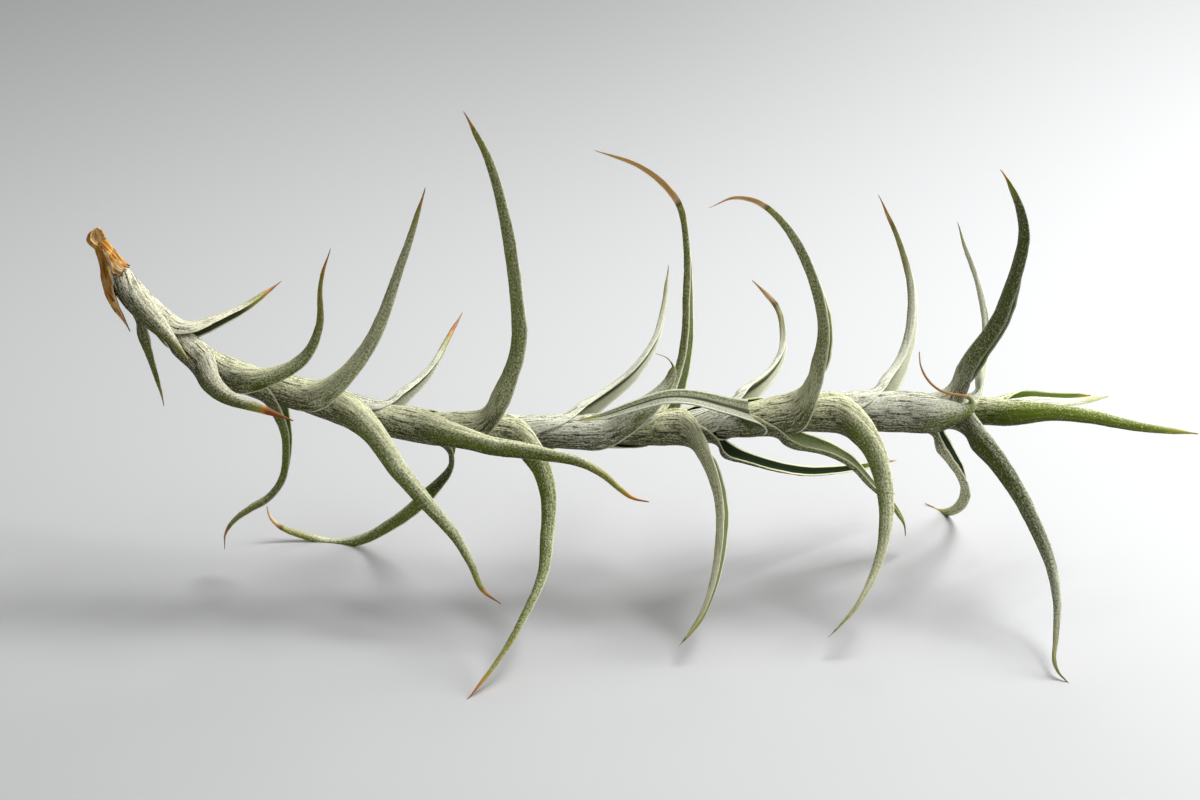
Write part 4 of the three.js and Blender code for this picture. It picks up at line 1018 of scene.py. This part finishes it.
def scale_skin():
    """Silvery white and matt."""
    material, _, shader = graph("silvery_scales")
    shader.inputs["Base Color"].default_value = (0.8, 0.81, 0.63, 1)
    shader.inputs["Roughness"].default_value = 0.6
    shader.inputs["Specular IOR Level"].default_value = 0.25
    return material


SCALE_SKIN = scale_skin()
for slot, grids in OUTER_FACES.items():
    flakes = np.vstack([scale_flakes(grid, SCALES_PER_MM2[slot], FIRST_SCALE_SEED + i)
                        for i, grid in enumerate(grids)])
    first_corner = np.arange(0, len(flakes), 4)[:, None, None]
    sides = first_corner + np.array([[0, 3, 1], [0, 2, 3], [1, 3, 2], [0, 1, 2]])
    piece = put_mesh(slot + "_scales", flakes, [sides.reshape(-1, 3)], SCALE_SKIN)
    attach(piece, "root")

# ---------------------------------------------------------------- the dried cap
# The curled papery remains over the cut lower end of the stem: a hood, open towards the front, with
# a thick orange rim and a cream hollow. It sits on the stem's end.
CAP_LINE = [[-124.1, 37, 5.8], [-124.7, 38.2, 5.8], [-125.3, 39.2, 5.9], [-125.9, 40.5, 6],
            [-126.1, 42, 6.2], [-125.8, 43.1, 6.6]]
CAP_TABLE = np.array([  # share of the line, radius, degrees that the arc reaches to either side
    [0, 1.3, 168], [0.2, 1.6, 160], [0.38, 2.2, 112], [0.6, 2.45, 100], [0.86, 1.75, 100],
    [1, 0.35, 80],
])
CAP_ROWS, CAP_COLUMNS = 60, 81
CAP_CRUMPLE = 0.09  # of the radius
CAP_BEAD, CAP_BEAD_THICK = 0.16, 0.25
CAP_MAP_RADIUS, CAP_MAP_LENGTH = 2.2, 7


def dried_cap():
    """A hood about a short line: at each row an arc whose radius and reach come from a table, with
    the rim beaded outwards, crossed by crumples that vary the radius."""
    share, x = np.linspace(0, 1, CAP_ROWS)[:, None], np.linspace(-1, 1, CAP_COLUMNS)[None, :]
    line, reach = smooth_line(from_sight(CAP_LINE))
    centre = evened(line(share.ravel() * reach[-1]), 2)
    along = unit(centre[-1] - centre[0])
    out = square_to((from_sight([-130, 40, 1]) - from_sight([-124, 38, 6]))[0], along)
    side = np.cross(along, out)
    radius = np.interp(share.ravel(), CAP_TABLE[:, 0], CAP_TABLE[:, 1])
    radius = evened(radius, 3)[:, None]
    wrap = np.radians(np.interp(share.ravel(), CAP_TABLE[:, 0], CAP_TABLE[:, 2]))
    angle = evened(wrap, 4)[:, None] * x
    crumple = waves(2.5 * angle + 4 * share, 21, count=6, longest=5, shortest=0.6)
    bead = smoothstep(np.abs(x), 0.82, 0.93) * smoothstep(share, 0.15, 0.4)
    radius = radius * (1 + CAP_CRUMPLE * crumple) + CAP_BEAD * bead
    shape = angle.shape + (3,)
    points, faces = shell(np.broadcast_to(centre[:, None, :], shape), np.broadcast_to(out, shape),
                          np.broadcast_to(side, shape), radius, angle,
                          PAPER_THICK + CAP_BEAD_THICK * bead)
    inside = np.concatenate([0 * angle, 0 * angle + 1], axis=1)
    pale = inside * (1 - twice(0.6 * bead).reshape(inside.shape))
    charred = 0.6 * inside * smoothstep(share, 0.3, 0.1)
    uv = np.stack([twice(angle * CAP_MAP_RADIUS), twice(share * CAP_MAP_LENGTH + 0 * x)], -1)
    papery_piece("dried_cap", points, faces, pale, charred, uv)


dried_cap()

# ---------------------------------------------------------------- the floor and the light
# A plain pale tabletop, a little darker at its far left, a painted shade for the light falling
# off there. Soft boxes light it from high on the right, behind and in front, from far behind, and
# from lower on the right, which whitens that side. A faint even light comes from all round.
FLOOR_SIZE = 6.0  # m
FLOOR_GREY = (0.56, 0.564, 0.568, 1)
FAR_SHADE = 0.62  # of the floor's grey, for the painted shade at its far left
FAR_FROM, FAR_TO = 0.08, 0.56  # m behind the plant's middle
RIGHT_FROM, LEFT_TO = 0.26, -0.05  # m to its right
SKY_STRENGTH = 0.15


def stage_floor():
    """A square sheet just under the plant, with painted shade at the far left on Object
    coordinates.
    """
    half = FLOOR_SIZE / 2 / MM
    corners = np.array([[-half, -half, 0], [half, -half, 0], [half, half, 0], [-half, half, 0]])
    material, tree, shader = graph("floor_matt")
    place = add(tree, "ShaderNodeTexCoord").outputs["Object"]
    axis = add(tree, "ShaderNodeSeparateXYZ", _0=place).outputs
    far = combine(tree, "MULTIPLY", between(tree, axis[1], FAR_FROM, FAR_TO),
                  between(tree, axis[0], RIGHT_FROM, LEFT_TO))
    far_grey = tuple(FAR_SHADE * c for c in FLOOR_GREY[:3]) + (1,)
    tree.links.new(blend(tree, far, FLOOR_GREY, far_grey), shader.inputs["Base Color"])
    shader.inputs["Roughness"].default_value = 0.7
    shader.inputs["Specular IOR Level"].default_value = 0.2
    return put_mesh("floor", corners, [np.array([[0, 1, 2, 3]])], material)


stage_floor()


def soft_box(name, place, aim, size, power):
    """A square white lamp at a place, turned to face a point; places and size in mm, power in W."""
    lamp = bpy.data.lights.new(name, "AREA")
    lamp.size = size * MM
    lamp.energy = power
    holder = bpy.data.objects.new(name, lamp)
    bpy.context.scene.collection.objects.link(holder)
    direction = Vector(np.subtract(aim, place))
    turn = direction.to_track_quat("-Z", "Y").to_matrix().to_4x4()
    holder.matrix_world = Matrix.Translation(Vector(place) * MM) @ turn


soft_box("key_box", place=(360, 300, 800), aim=(0, 20, 20), size=320, power=5.9)
soft_box("front_box", place=(350, -40, 800), aim=(0, 20, 20), size=300, power=2.0)
soft_box("back_box", place=(40, 760, 560), aim=(0, 20, 20), size=300, power=1.6)
soft_box("side_box", place=(520, 120, 330), aim=(120, 60, 0), size=300, power=2.45)

world = bpy.data.worlds.new("studio")
world.use_nodes = True
sky = world.node_tree.nodes["Background"]
sky.inputs["Color"].default_value = (1, 1, 1, 1)
sky.inputs["Strength"].default_value = SKY_STRENGTH
bpy.context.scene.world = world
bpy.context.scene.view_settings.view_transform = "Standard"
